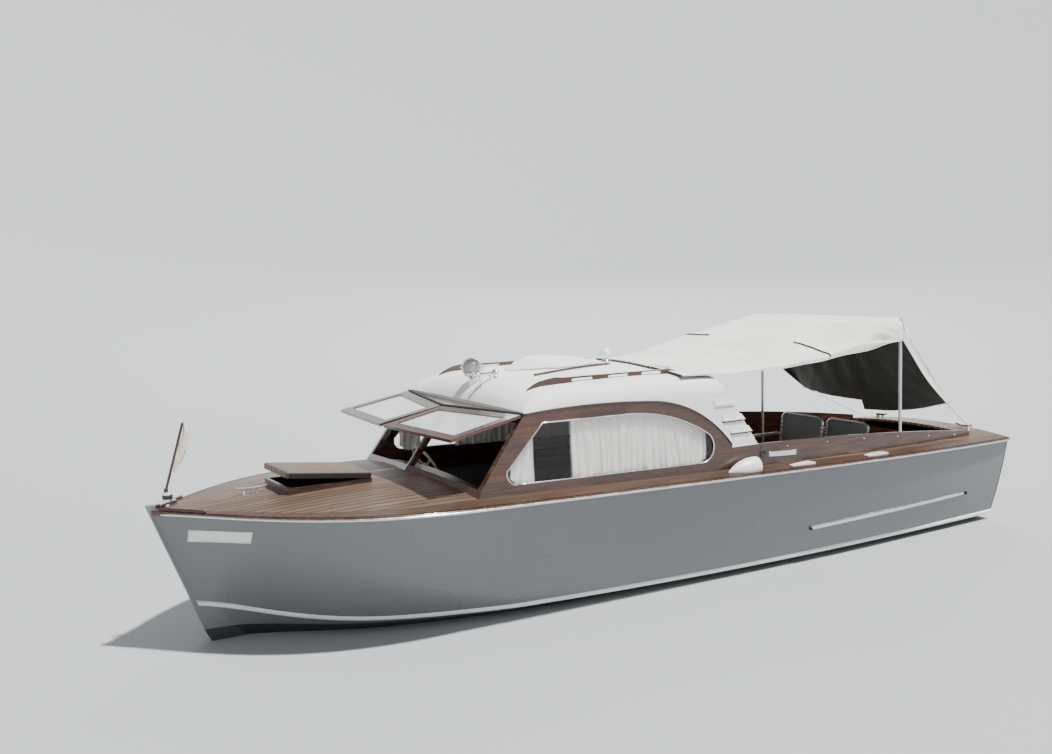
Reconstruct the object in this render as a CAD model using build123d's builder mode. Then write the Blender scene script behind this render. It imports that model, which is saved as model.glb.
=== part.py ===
from build123d import *
from math import atan, atan2, cos, radians, sin, sqrt
import os

os.makedirs("parts", exist_ok=True)

# Wooden cabin cruiser afloat, millimetres.
# +X points to the bow, +Y to port, +Z up; the origin is amidships on the waterline.

# Hull sections, one row each: sheer x, lean of the section, half width and height at the sheer,
# half width and height at the chine, keel height, bow of the topside
hull_table = [
    (-3810, -0.10, 880, 787, 745, 55, -150, 18),
    (-2104, 0.00, 1066, 835, 840, 55, -255, 22),
    (-397, 0.00, 1124, 879, 868, 60, -300, 24),
    (1310, 0.00, 1131, 920, 790, 70, -310, 18),
    (1810, 0.02, 1127, 931, 715, 78, -305, 14),
    (2310, 0.08, 1085, 942, 605, 90, -290, 6),
    (2810, 0.20, 912, 952, 450, 112, -255, -4),
    (3310, 0.32, 540, 963, 200, 165, -185, -10),
    (3810, 0.395, 30, 973, 26, 271, 0, -1),
]
aft_rows, bow_rows = hull_table[:4], hull_table[3:]
plank = 22
deck_thickness = 22
deck_radius = 7200
transom_thickness = 25
chine_lap = 20
stem_solid = 110

# Stem, keel and skeg
keel_width = 56
stem_depth = 32
stem_head_z = 1004
keel_low_z = -385
skeg_low_z = -470
skeg_aft_x = -2650

# Cabin and coaming
side_foot_y = 976
side_foot_z = 970
side_lean = 2.5
side_thickness = 22
cabin_aft_x = -720
coaming_aft_x = -3450
coaming_aft_y = 735
coaming_mid = (-2150, 905)
coaming_thickness = 22
coaming_fore_z = 1066
coaming_mid_z = 1004
coaming_low_z = 760
board_below_deck = 60
opening_fore_x = 1700
aft_deck_x = -3500

# Roof sections, one row each: x, crown height, shoulder height, height where the corner starts,
# shoulder distance from the side
roof_nose_rows = [
    (1428, 1520, 1512, 1498, 24),
    (1334, 1634, 1590, 1502, 84),
    (1240, 1677, 1628, 1508, 118),
    (1146, 1697, 1644, 1512, 130),
]
roof_main_rows = [
    (1146, 1697, 1644, 1512, 130),
    (671, 1715, 1656, 1515, 132),
    (196, 1713, 1654, 1515, 132),
    (-279, 1686, 1630, 1510, 130),
    (-754, 1632, 1580, 1500, 128),
]
roof_eave_z = 1494
roof_top_aft = (-270, 1700)
roof_quarter_mid = (-480, 1380)
roof_quarter_foot = (-690, 1066)
roof_thickness = 24
quarter_top_z = 1452
louvre_reach = 600
louvre_starts = [(-263, 1403), (-339, 1271), (-415, 1171)]
louvre_gap = 14

# Grab rails
rail_y = 720
rail_width = 24
rail_top_z = 1706
rail_slots = (789, 465, 157)
rail_slot_size = (195, 30)

# Windshield, port half: centre top, outer top and outer foot
shield_centre_top = (1585, 0, 1478)
shield_outer_top = (1431, 953, 1494)
shield_outer_foot = (1822, 976, 970)
shield_centre_foot_z = 1022
shield_thickness = 40
shield_post = 42
shield_base = 48
sash_gap = 3
sash_thickness = 22
sash_rail = 80
glass_thickness = 5
sash_open = 42.5
hinge_drop = 24
knuckle_radius = 5
knuckle_length = 70
shield_header = 34

# Foredeck hatch
hatch_aft_x = 2300
hatch_length = 630
hatch_width = 500
hatch_wall = 22
hatch_top_z = 1048
lid_thickness = 42
lid_overhang = 12
lid_gap = 0.3
lid_open = 6.5

# Drive
prop_x, prop_z = -2960, -385
prop_diameter = 300
engine_aft_x, shaft_fore_z = -1900, -82
engine_size = (700, 460, 380)
shaft_diameter = 30
shaft_hole = 42
running_gap = 0.3
rudder_x = -3330
rudder_chord = 290
rudder_height = 340
rudder_top_z = -208
stock_diameter = 30

# Inside
cockpit_sole_z = 300
cabin_sole_z = 40
sole_thickness = 20
bulkhead_x = -258
door_width = 560
door_gap = 6
pane_drop, pane_size = 330, (390, 380)
lining_thickness = 12

# Berths and settees; wide is any width well beyond the hull
wide = 2400
berth_x, berth_z, berth_length, berth_thickness = 2400, 400, 1300, 90
berth_well = (700, 440)
settee_x, settee_length, settee_top, settee_aisle = 720, 1050, 430, 1000

# Side window, and the curtains drawn behind it, from the fore edge of each to its aft edge
window_foot = [(1500, 1012), (-140, 978)]
window_aft_arcs = [(-250, 1085), (-190, 1205), (160, 1362), (600, 1417)]
window_fore = [(1280, 1426), (1586, 1112), (1573, 1043)]
curtain_spans = [(1555, 1352), (1026, -186)]
curtain_gap = 0.3
curtain_depth = 22

# Dashboard and helm
dash_thickness, dash_middle_z, dash_height = 20, 775, 430
gangway = 560
pod_size = (80, 420, 180)
helm_y, helm_z = -560, 850
helm_tilt = 62
wheel_radius, wheel_reach = 190, 150
wheel_rim, hub_disc, column_radius = 11, 34, 14

# Bow light over the chock, whose bore takes a mooring line, and the flag staff
chock_x, chock_bore = 3690, 13
bow_lamp_radius, bow_lamp_low, bow_lamp_top = 34, 50, 108
staff_foot, staff_head = (3698, 0, 1092), (3559, 0, 1545)
staff_socket = (15, 24)
pennant_reach = (185, 470)
staff_diameter = 18

# Searchlight, horn and mast light on the roof
lamp_x, lamp_z, lamp_radius = 1325, 1758, 76
lamp_yaw = 50
lamp_front, lamp_back = 48, 66
lamp_foot_z, lamp_foot_radius, lamp_stem_radius = 1668, 32, 12
horn_x, horn_y, horn_z = 1225, 170, 1716
mast_x, globe_z, globe_radius = 84, 1778, 44

# Step pads on the side decks
pad_places = [(-1080, 1035), (-1945, 1000)]
pad_size = (240, 90, 12)

# Spare canvas folded on the roof: side profile and plan
bundle_profile = [(1005, 1690), (750, 1785), (470, 1769), (180, 1738), (140, 1690)]
bundle_middle = (575, -50)
bundle_size = (870, 500)

# Awning: crown line from the roof to the aft bar; one pole on the coaming, one on the sole
awning_crown = [(-30, 1712), (-600, 1705), (-1400, 1806), (-2400, 1975)]
pole_x, pole_fore = -2392, (-2250, -740)
pole_diameter = 28
bar_ends = [(-2392, 885, 1953), (-2236, -885, 1926)]
awning_half = 900
awning_hem = [(-2400, 1738), (-1424, 1700), (-1053, 1640), (-30, 1645)]
awning_thickness = 8
flap_low = (-2975, 1165)
guy_foot = (-3560, 700, 846)
guy_diameter = 8

# Folding chairs, one row each: middle of the seat and height of the back
chair_places = [(-1706, 142, 790), (-2270, 142, 680)]
chair_tube = 24
chair_bend = 60
chair_width, chair_depth = 510, 380
chair_seat, chair_arm = 400, 200
back_lean = 50
cloth_thickness = 6


def section_plane(x, lean, z):
    """Upright plane across the hull whose top leans towards the bow."""
    a = atan(lean)
    return Plane(origin=(x, 0, z), x_dir=(0, 1, 0), z_dir=(cos(a), 0, -sin(a)))


def inset_corners(keel, chine, sheer, t):
    """Section corners moved inwards by a plank thickness."""
    floor = (chine - keel).normalized()
    side = (sheer - chine).normalized()
    up, inward = Vector(-floor.Y, floor.X), Vector(-side.Y, side.X)
    low = Vector(0, keel.Y + t / floor.X)
    return low, chine + (up + inward) * (t / (1 + up.dot(inward))), sheer + inward * t


def hull_section(row, t=0):
    """Port half of a hull section: bottom, topside, cambered deck and centre line."""
    x, lean, half, z, chine_half, chine_z, keel_z, belly = row
    k = sqrt(1 + lean * lean)
    keel, chine, sheer = Vector(0, (keel_z - z) * k), Vector(chine_half, (chine_z - z) * k), Vector(half, 0)
    if t:
        keel, chine, sheer = inset_corners(keel, chine, sheer, t)
    side_mid = (chine + sheer) * 0.5 + Vector(belly, 0)
    crown = sheer.X**2 / (2 * deck_radius) * k
    with BuildSketch(section_plane(x, lean, z)) as sk:
        with BuildLine():
            Line(keel, chine)
            ThreePointArc(chine, side_mid, sheer)
            ThreePointArc(sheer, (sheer.X / 2, sheer.Y + crown * 0.75), (0, sheer.Y + crown))
            Line((0, sheer.Y + crown), keel)
        make_face()
    return sk.sketch


def band_section(row, shift, top, camber):
    """Wide block across the hull, with a flat or cambered top, for cutting at a level."""
    x, lean, half, z = row[:4]
    k = sqrt(1 + lean * lean)
    wide, base = 1500, -1400
    crown = half**2 / (2 * deck_radius) if camber else 0
    edge = crown - wide**2 / (2 * deck_radius) if camber else 0
    with BuildSketch(section_plane(x + shift, lean, z)) as sk:
        with BuildLine():
            left, right = (-wide, (top + edge) * k), (wide, (top + edge) * k)
            if camber:
                ThreePointArc(right, (0, (top + crown) * k), left)
            else:
                Line(right, left)
            Polyline(left, (-wide, base), (wide, base), right)
        make_face()
    return sk.sketch


def smooth_body(sections):
    """Solid through the hull sections, in two lengths that meet where the hull is straightest."""
    with BuildPart() as body:
        loft(sections=sections[: len(aft_rows)])
        loft(sections=sections[len(aft_rows) - 1 :])
    return body.part


def level_body(heights, camber):
    """Everything below a level that is given at each hull section."""
    rows = [hull_table[0]] + hull_table + [hull_table[-1]]
    shifts = [-150] + [0] * len(hull_table) + [150]
    levels = [heights[0]] + heights + [heights[-1]]
    with BuildPart() as body:
        loft(sections=[band_section(r, s, h, camber) for r, s, h in zip(rows, shifts, levels)], ruled=True)
    return body.part


def arc_value(start, middle, end, at):
    """Height of the circle through three points above a place between them."""
    (ax, ay), (bx, by), (cx, cy) = start, middle, end
    d = 2 * (ax * (by - cy) + bx * (cy - ay) + cx * (ay - by))
    sq = [q[0] ** 2 + q[1] ** 2 for q in (start, middle, end)]
    mx = (sq[0] * (by - cy) + sq[1] * (cy - ay) + sq[2] * (ay - by)) / d
    my = (sq[0] * (cx - bx) + sq[1] * (ax - cx) + sq[2] * (bx - ax)) / d
    r = sqrt((ax - mx) ** 2 + (ay - my) ** 2)
    return my + sqrt(r**2 - (at - mx) ** 2)


stem_plane = section_plane(*[hull_table[-1][i] for i in (0, 1, 3)])
stern_plane = section_plane(*[hull_table[0][i] for i in (0, 1, 3)])
hull_port = smooth_body([hull_section(row) for row in hull_table])
with BuildPart() as hull_solid:
    add(hull_port)
    mirror(about=Plane.XZ)
with BuildPart() as hull_space:
    add(smooth_body([hull_section(row, plank) for row in hull_table]))
    mirror(about=Plane.XZ)
    split(bisect_by=stem_plane.offset(-stem_solid), keep=Keep.BOTTOM)
below_deck = level_body([-deck_thickness] * len(hull_table), True)
below_lap = level_body([row[5] + chine_lap - row[3] for row in hull_table], False)
shaft_slope = atan2(shaft_fore_z - prop_z, engine_aft_x - prop_x)
shaft_plane = Plane(origin=(prop_x, 0, prop_z), x_dir=(0, 1, 0), z_dir=(cos(shaft_slope), 0, sin(shaft_slope)))
shaft_length = (engine_aft_x - prop_x) / cos(shaft_slope)
with BuildPart() as shaft_tunnel:
    with BuildSketch(shaft_plane):
        Circle(shaft_hole / 2)
    extrude(amount=shaft_length)
with BuildPart() as stock_tunnel:
    with BuildSketch(Plane.XY.offset(-600)):
        with Locations((rudder_x, 0)):
            Circle(stock_diameter / 2 + running_gap)
    extrude(amount=1400)

# Planking: bottom and topside meet at the lap above the chine
with BuildPart() as bottom_port:
    add(hull_port)
    add(below_lap, mode=Mode.INTERSECT)
    add(hull_space.part, mode=Mode.SUBTRACT)
    split(bisect_by=stern_plane.offset(transom_thickness), keep=Keep.TOP)
    add(shaft_tunnel.part, mode=Mode.SUBTRACT)
    add(stock_tunnel.part, mode=Mode.SUBTRACT)
with BuildPart() as topside_port:
    add(hull_port)
    add(below_deck, mode=Mode.INTERSECT)
    add(hull_space.part, mode=Mode.SUBTRACT)
    add(below_lap, mode=Mode.SUBTRACT)
    split(bisect_by=stern_plane.offset(transom_thickness), keep=Keep.TOP)
with BuildPart() as bottom_starboard:
    add(mirror(bottom_port.part, about=Plane.XZ, mode=Mode.PRIVATE))
with BuildPart() as topside_starboard:
    add(mirror(topside_port.part, about=Plane.XZ, mode=Mode.PRIVATE))
with BuildPart() as transom:
    add(hull_solid.part)
    add(below_deck, mode=Mode.INTERSECT)
    split(bisect_by=stern_plane.offset(transom_thickness), keep=Keep.BOTTOM)

# Stem, keel and skeg in one line of timber
stem_x, stem_lean, stem_z = hull_table[-1][0], hull_table[-1][1], hull_table[-1][3]
stem_foot_z = 60
with BuildPart() as stem_and_keel:
    with BuildSketch(Plane.XZ):
        with BuildLine():
            head = (stem_x + stem_depth, stem_head_z)
            foot = (stem_x - stem_lean * (stem_z - stem_foot_z) + stem_depth, stem_foot_z)
            Line(head, foot)
            ThreePointArc(foot, (3235, -225), (2800, keel_low_z + 40))
            Polyline((2800, keel_low_z + 40), (1200, keel_low_z), (-900, keel_low_z),
                     (skeg_aft_x, skeg_low_z), (skeg_aft_x - 90, -120), (2900, -60), (3250, 150),
                     (stem_x - 30, stem_z - 60), (stem_x - 30, stem_head_z), head)
        make_face()
    extrude(amount=keel_width / 2, both=True)
    add(hull_solid.part, mode=Mode.SUBTRACT)
    add(shaft_tunnel.part, mode=Mode.SUBTRACT)

# Rub rail at the sheer and spray rail at the chine: half-round strips on every section
def strip(points, rows, low, high, proud):
    """Half-round strip along the hull through one side point per section, both sides."""
    sections = []
    for (x, lean, half, z), (y, level) in zip([r[:4] for r in rows], points):
        k = sqrt(1 + lean * lean)
        mid = (level - z) * k
        with BuildSketch(section_plane(x, lean, z)) as sk:
            with BuildLine():
                inner = max(y - 30, 2)
                ThreePointArc((y, mid - low), (y + proud, mid + (high - low) / 2), (y, mid + high))
                Polyline((y, mid + high), (inner, mid + high), (inner, mid - low), (y, mid - low))
            make_face()
        sections.append(sk.sketch)
    with BuildPart() as body:
        if len(rows) == len(hull_table):
            loft(sections=sections[: len(aft_rows)])
            loft(sections=sections[len(aft_rows) - 1 :])
        else:
            loft(sections=sections)
        mirror(about=Plane.XZ)
        add(hull_solid.part, mode=Mode.SUBTRACT)
    return body.part


with BuildPart() as rub_rails:
    add(strip([(r[2], r[3]) for r in hull_table], hull_table, 34, -4, 24))
    add(stem_and_keel.part, mode=Mode.SUBTRACT)
with BuildPart() as chine_rails:
    add(strip([(r[4], r[5]) for r in hull_table], hull_table, 4, 42, 20))
    add(stem_and_keel.part, mode=Mode.SUBTRACT)
guard_rows = [(-3250, 0, 910, 800), (-2250, 0, 1044, 800), (-1260, 0, 1092, 800)]
guard_points = [(838, 330), (918, 318), (946, 305)]
with BuildPart() as guard_mouldings:
    add(strip(guard_points, guard_rows, 22, 22, 26))


# Cabin side plane, leaning inwards; local x runs forward and local y up the side
lean_cos, lean_sin = cos(radians(side_lean)), sin(radians(side_lean))
side_plane = Plane(origin=(0, side_foot_y, side_foot_z), x_dir=(1, 0, 0), z_dir=(0, -lean_cos, -lean_sin))


def on_side(x, z):
    """Point of the port cabin side, from its x and its height."""
    return (x, (z - side_foot_z) / lean_cos)


# Everything inboard of the cabin sides, and of the coamings that run on to the stern
with BuildPart() as inboard_space:
    with BuildSketch(side_plane):
        with BuildLine():
            Polyline(on_side(opening_fore_x, 300), on_side(opening_fore_x, 1900),
                     on_side(cabin_aft_x, 1900), on_side(cabin_aft_x, 300), close=True)
        make_face()
    extrude(amount=side_foot_y)
    mirror(about=Plane.XZ)
coaming_fore_y = side_foot_y
with BuildPart() as cockpit_space:
    with BuildSketch(Plane.XY.offset(cockpit_sole_z)):
        with BuildLine():
            ThreePointArc((cabin_aft_x, coaming_fore_y), coaming_mid, (coaming_aft_x, coaming_aft_y))
            Polyline((coaming_aft_x, coaming_aft_y), (aft_deck_x, coaming_aft_y - 60), (aft_deck_x, 0),
                     (cabin_aft_x, 0), (cabin_aft_x, coaming_fore_y))
        make_face()
    extrude(amount=900)
    mirror(about=Plane.XZ)

# Deck: one cambered surface in four pieces round the cabin and the cockpit
with BuildPart() as deck_solid:
    add(hull_solid.part)
    add(below_deck, mode=Mode.SUBTRACT)
hatch_mid_x = hatch_aft_x + hatch_length / 2
with BuildPart() as foredeck:
    add(deck_solid.part)
    split(bisect_by=Plane.YZ.offset(opening_fore_x), keep=Keep.TOP)
    with Locations((hatch_mid_x, 0, 1000)):
        Box(hatch_length, hatch_width, 300, mode=Mode.SUBTRACT)
    add(stem_and_keel.part, mode=Mode.SUBTRACT)
with BuildPart() as aft_deck:
    add(deck_solid.part)
    split(bisect_by=Plane.YZ.offset(aft_deck_x), keep=Keep.BOTTOM)
with BuildPart() as side_deck_port:
    add(deck_solid.part)
    split(bisect_by=Plane.YZ.offset(opening_fore_x), keep=Keep.BOTTOM)
    split(bisect_by=Plane.YZ.offset(aft_deck_x), keep=Keep.TOP)
    add(inboard_space.part, mode=Mode.SUBTRACT)
    add(cockpit_space.part, mode=Mode.SUBTRACT)
    split(bisect_by=Plane.XZ.offset(-300), keep=Keep.BOTTOM)
with BuildPart() as side_deck_starboard:
    add(mirror(side_deck_port.part, about=Plane.XZ, mode=Mode.PRIVATE))

# Windshield: a shallow V of two leaning halves, a header under the roof edge and a centre post
top_c, top_o, foot_o = Vector(shield_centre_top), Vector(shield_outer_top), Vector(shield_outer_foot)
across = (top_o - top_c).normalized()
shield_normal = (foot_o - top_o).cross(top_c - top_o).normalized() * -1
shield_plane = Plane(origin=top_c, x_dir=across, z_dir=shield_normal)
drop = (top_c.Z - shield_centre_foot_z) / shield_normal.X * shield_normal.Z
foot_c = Vector(top_c.X + drop, 0, shield_centre_foot_z)


def in_shield(v):
    """Local point of the port windshield plane."""
    p = shield_plane.to_local_coords(v)
    return (p.X, p.Y)


shield_corners = [in_shield(v) for v in (top_c, top_o, foot_o, foot_c)]
with BuildPart() as windshield_frame:
    with BuildSketch(shield_plane):
        with BuildLine():
            reach = Vector(0, -30)
            outline = [Vector(c) for c in shield_corners]
            Polyline(*outline[:2], outline[2] + reach, outline[3] + reach, close=True)
        make_face()
        with BuildLine(mode=Mode.PRIVATE) as opening_line:
            Polyline((shield_post * 0.7, -shield_header - hinge_drop / 2),
                     (outline[1].X - shield_post, -shield_header - hinge_drop / 2),
                     (outline[2].X - shield_post, outline[2].Y + shield_base),
                     (outline[3].X + shield_post * 0.7, outline[3].Y + shield_base), close=True)
        make_face(opening_line.edges(), mode=Mode.SUBTRACT)
    extrude(amount=-shield_thickness)
    with BuildSketch(Plane.XY.offset(roof_eave_z)):
        with BuildLine():
            Polyline((top_o.X, top_o.Y), (top_c.X, 0), (top_o.X - shield_thickness, 0),
                     (top_o.X - shield_thickness, top_o.Y - 4), close=True)
        make_face()
    extrude(amount=-shield_header)
    split(bisect_by=shield_plane, keep=Keep.BOTTOM)
    split(bisect_by=Plane.XZ, keep=Keep.BOTTOM)
    mirror(about=Plane.XZ)
    add(foredeck.part, mode=Mode.SUBTRACT)
    add(below_deck, mode=Mode.SUBTRACT)

# Opening sashes, hinged along their top edge and standing open
hinge_origin = shield_plane.from_local_coords((0, -hinge_drop, knuckle_radius + running_gap))
sash_up = shield_normal * cos(radians(sash_open)) + shield_plane.y_dir * sin(radians(sash_open))
sash_plane = Plane(origin=hinge_origin, x_dir=across, z_dir=sash_up)
sash_corners = [
    (sash_gap * 2, -2),
    (outline[1].X - sash_gap * 2, -2),
    (outline[2].X - sash_gap * 2, outline[2].Y + shield_base + hinge_drop - 8),
    (outline[3].X + sash_gap * 4, outline[3].Y + shield_base + hinge_drop - 8),
]


def sash_outline(inset):
    with BuildSketch(sash_plane) as sk:
        with BuildLine():
            Polyline(*sash_corners, close=True)
        make_face()
        if inset:
            offset(amount=-inset, kind=Kind.INTERSECTION)
    return sk.sketch


with BuildPart() as sash_port:
    add(extrude(sash_outline(0), amount=sash_thickness, mode=Mode.PRIVATE))
    add(extrude(sash_outline(sash_rail), amount=sash_thickness, mode=Mode.PRIVATE), mode=Mode.SUBTRACT)
    for reach in (sash_corners[1][0] * 0.2, sash_corners[1][0] * 0.8):
        knuckle_end = sash_plane.from_local_coords((reach - knuckle_length / 2, 0, 0))
        with BuildSketch(Plane(origin=knuckle_end, z_dir=across)):
            Circle(knuckle_radius)
        extrude(amount=knuckle_length)
glass_seat = (sash_thickness - glass_thickness) / 2
with BuildPart() as sash_glass_port:
    add(extrude(sash_outline(sash_rail), amount=glass_seat + glass_thickness, mode=Mode.PRIVATE))
    add(extrude(sash_outline(sash_rail), amount=glass_seat, mode=Mode.PRIVATE), mode=Mode.SUBTRACT)
with BuildPart() as sash_starboard:
    add(mirror(sash_port.part, about=Plane.XZ, mode=Mode.PRIVATE))
with BuildPart() as sash_glass_starboard:
    add(mirror(sash_glass_port.part, about=Plane.XZ, mode=Mode.PRIVATE))


# Cabin sides with a long window each; the top edge sweeps down to the coaming
def window_outline():
    with BuildSketch(side_plane) as sk:
        with BuildLine():
            foot = [on_side(*q) for q in window_foot]
            aft = [on_side(*q) for q in window_aft_arcs]
            fore = [on_side(*q) for q in window_fore]
            Line(*foot)
            ThreePointArc(foot[1], aft[0], aft[1])
            ThreePointArc(aft[1], aft[2], aft[3])
            Polyline(aft[3], fore[0], fore[1])
            ThreePointArc(fore[1], fore[2], foot[0])
        make_face()
    return sk.sketch


side_top = [(1431, 1494), (880, 1513), (330, 1488), (-130, 1348), (-428, 1084)]
side_low = [(-430, coaming_fore_z), (cabin_aft_x, coaming_fore_z), (cabin_aft_x, coaming_low_z),
            (opening_fore_x, 830), (opening_fore_x, 940), (1835, 940)]


def side_outline(plane, place):
    with BuildSketch(plane) as sk:
        with BuildLine():
            ThreePointArc(*[place(*q) for q in side_top[:3]])
            ThreePointArc(*[place(*q) for q in side_top[2:]])
            Polyline(*[place(*q) for q in [side_top[-1]] + side_low + [(1822, 970), side_top[0]]])
        make_face()
    return sk.sketch


with BuildPart() as cabin_side_port:
    add(extrude(side_outline(side_plane, on_side), amount=side_thickness, mode=Mode.PRIVATE))
    add(extrude(window_outline(), amount=side_thickness, mode=Mode.PRIVATE), mode=Mode.SUBTRACT)
    add(windshield_frame.part, mode=Mode.SUBTRACT)
    add(foredeck.part, mode=Mode.SUBTRACT)
window_seat = (side_thickness - glass_thickness) / 2
with BuildPart() as side_window_glass:
    add(extrude(window_outline(), amount=window_seat + glass_thickness, mode=Mode.PRIVATE))
    add(extrude(window_outline(), amount=window_seat, mode=Mode.PRIVATE), mode=Mode.SUBTRACT)
    mirror(about=Plane.XZ)
with BuildPart() as cabin_side_starboard:
    add(mirror(cabin_side_port.part, about=Plane.XZ, mode=Mode.PRIVATE))


# Roof: a shallow dome whose sides run down aft into louvred quarters
def roof_section(row, t=0, shift=0):
    """Port half of a roof section: leaning side, rounded corner and crown."""
    x, crown_z, shoulder_z, corner_z, inset = row
    side_y = lambda z: side_foot_y - t - (z - side_foot_z) * lean_sin / lean_cos
    low_z = 840
    corner = Vector(side_y(corner_z), corner_z)
    shoulder = Vector(side_y(corner_z) - inset, shoulder_z - t)
    crown = Vector(0, crown_z - t)
    fall = crown.Y - shoulder.Y
    radius = (shoulder.X**2 + fall**2) / (2 * fall)
    half_y = shoulder.X / 2
    crown_mid = (half_y, crown.Y - radius + sqrt(radius**2 - half_y**2))
    chord = shoulder - corner
    corner_mid = (corner + shoulder) * 0.5 + Vector(chord.Y, -chord.X) * 0.19
    with BuildSketch(Plane(origin=(x + shift, 0, 0), x_dir=(0, 1, 0), z_dir=(1, 0, 0))) as sk:
        with BuildLine():
            Line((side_y(low_z), low_z), corner)
            ThreePointArc(corner, corner_mid, shoulder)
            ThreePointArc(shoulder, crown_mid, crown)
            Polyline(crown, (0, low_z), (side_y(low_z), low_z))
        make_face()
    return sk.sketch


def roof_form(t):
    """Roof volume, set in by a wall thickness."""
    nose = [roof_section(row, t, -t) for row in roof_nose_rows]
    main = [roof_section(roof_main_rows[0], t, -t)] + [roof_section(row, t) for row in roof_main_rows[1:]]
    with BuildPart() as body:
        loft(sections=nose)
        loft(sections=main)
        mirror(about=Plane.XZ)
    return body.part


roof_outer, roof_inner = roof_form(0), roof_form(roof_thickness)
with BuildPart() as roof_silhouette:
    with BuildSketch(Plane.XZ):
        with BuildLine():
            ThreePointArc(*side_top[:3])
            ThreePointArc(*side_top[2:])
            Polyline(side_top[-1], (-430, coaming_fore_z), roof_quarter_foot)
            ThreePointArc(roof_quarter_foot, roof_quarter_mid, roof_top_aft)
            Polyline(roof_top_aft, (roof_top_aft[0], 1800), (1500, 1800), (1500, roof_eave_z), side_top[0])
        make_face()
    extrude(amount=1200, both=True)
with BuildPart() as roof_shell:
    add(roof_outer)
    add(roof_inner, mode=Mode.SUBTRACT)
    add(roof_silhouette.part, mode=Mode.INTERSECT)
with BuildPart() as cabin_roof:
    add(roof_shell.part)
    with Locations((-500, 0, quarter_top_z - 300)):
        Box(1000, 2400, 600, mode=Mode.SUBTRACT)
with BuildPart() as louvre_quarter_port:
    add(roof_shell.part)
    with Locations((-500, 600, quarter_top_z - 300)):
        Box(1000, 1200, 600, mode=Mode.INTERSECT)
    with BuildSketch(side_plane):
        for start in louvre_starts:
            with Locations(on_side(*start)):
                Rectangle(louvre_reach, louvre_gap, align=(Align.MAX, Align.CENTER))
    extrude(amount=side_thickness * 2, both=True, mode=Mode.SUBTRACT)
with BuildPart() as louvre_quarter_starboard:
    add(mirror(louvre_quarter_port.part, about=Plane.XZ, mode=Mode.PRIVATE))

# Grab rails along the roof's shoulders, each with three hand holds
with BuildPart() as grab_rails:
    with BuildSketch(Plane.XZ.offset(-rail_y)):
        with BuildLine():
            ThreePointArc((1345, 1560), (1190, rail_top_z - 28), (960, rail_top_z))
            Line((960, rail_top_z), (40, rail_top_z - 8))
            ThreePointArc((40, rail_top_z - 8), (-90, rail_top_z - 26), (-200, rail_top_z - 80))
            Polyline((-200, rail_top_z - 80), (-200, 1540), (1345, 1540), (1345, 1560))
        make_face()
    extrude(amount=rail_width / 2, both=True)
    with BuildSketch(Plane.XZ.offset(-rail_y)):
        for slot_x in rail_slots:
            with Locations((slot_x, rail_top_z - 30)):
                SlotOverall(*rail_slot_size)
    extrude(amount=rail_width, both=True, mode=Mode.SUBTRACT)
    mirror(about=Plane.XZ)
    add(roof_outer, mode=Mode.SUBTRACT)

# Coamings run from the cabin to the stern and taper into the deck
with BuildPart() as coaming_port:
    with BuildSketch(Plane.XY.offset(coaming_low_z)):
        with BuildLine():
            ThreePointArc((cabin_aft_x, coaming_fore_y), coaming_mid, (coaming_aft_x, coaming_aft_y))
            Polyline((coaming_aft_x, coaming_aft_y), (coaming_aft_x, coaming_aft_y - coaming_thickness))
            ThreePointArc((coaming_aft_x, coaming_aft_y - coaming_thickness),
                          (coaming_mid[0], coaming_mid[1] - coaming_thickness),
                          (cabin_aft_x, coaming_fore_y - coaming_thickness))
            Line((cabin_aft_x, coaming_fore_y - coaming_thickness), (cabin_aft_x, coaming_fore_y))
        make_face()
    extrude(amount=400)
    with BuildSketch(Plane.XZ):
        with BuildLine():
            ThreePointArc((cabin_aft_x, coaming_fore_z), (-2050, coaming_mid_z), (coaming_aft_x, 862))
            Polyline((coaming_aft_x, 862), (coaming_aft_x, 700), (cabin_aft_x, 700), (cabin_aft_x, coaming_fore_z))
        make_face()
    extrude(amount=1200, both=True, mode=Mode.INTERSECT)
with BuildPart() as coaming_starboard:
    add(mirror(coaming_port.part, about=Plane.XZ, mode=Mode.PRIVATE))

# Foredeck hatch: a coaming frame let into the deck and a lid propped open on its aft hinge
with BuildPart() as hatch_coaming:
    with Locations((hatch_mid_x, 0, hatch_top_z - 50)):
        Box(hatch_length, hatch_width, 100)
        Box(hatch_length - 2 * hatch_wall, hatch_width - 2 * hatch_wall, 200, mode=Mode.SUBTRACT)
lid_angle = radians(lid_open)
hinge_x = hatch_aft_x - knuckle_radius - running_gap
lid_plane = Plane(origin=(hinge_x, 0, hatch_top_z + lid_gap), x_dir=(cos(lid_angle), 0, sin(lid_angle)),
                  z_dir=(-sin(lid_angle), 0, cos(lid_angle)))
lid_length, lid_width = hatch_length + lid_overhang, hatch_width + 2 * lid_overhang
lid_middle = hatch_aft_x - hinge_x + lid_length / 2
with BuildPart() as hatch_lid:
    with BuildSketch(lid_plane):
        with Locations((lid_middle, 0)):
            RectangleRounded(lid_length, lid_width, 30)
    extrude(amount=lid_thickness)
    fillet(hatch_lid.faces().sort_by(Axis(origin=lid_plane.origin, direction=lid_plane.z_dir))[-1].edges(), 14)
    with BuildSketch(lid_plane):
        with Locations((lid_middle, 0)):
            Rectangle(lid_length - 110, lid_width - 110)
    extrude(amount=lid_thickness - 16, mode=Mode.SUBTRACT)
    for hinge_y in (-150, 150):
        with Locations(Location((hinge_x, hinge_y, hatch_top_z + lid_gap), (90, 0, 0))):
            Cylinder(knuckle_radius, knuckle_length)
        with BuildSketch(lid_plane):
            with Locations((10, hinge_y)):
                Rectangle(20, knuckle_length)
        extrude(amount=3)

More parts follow.
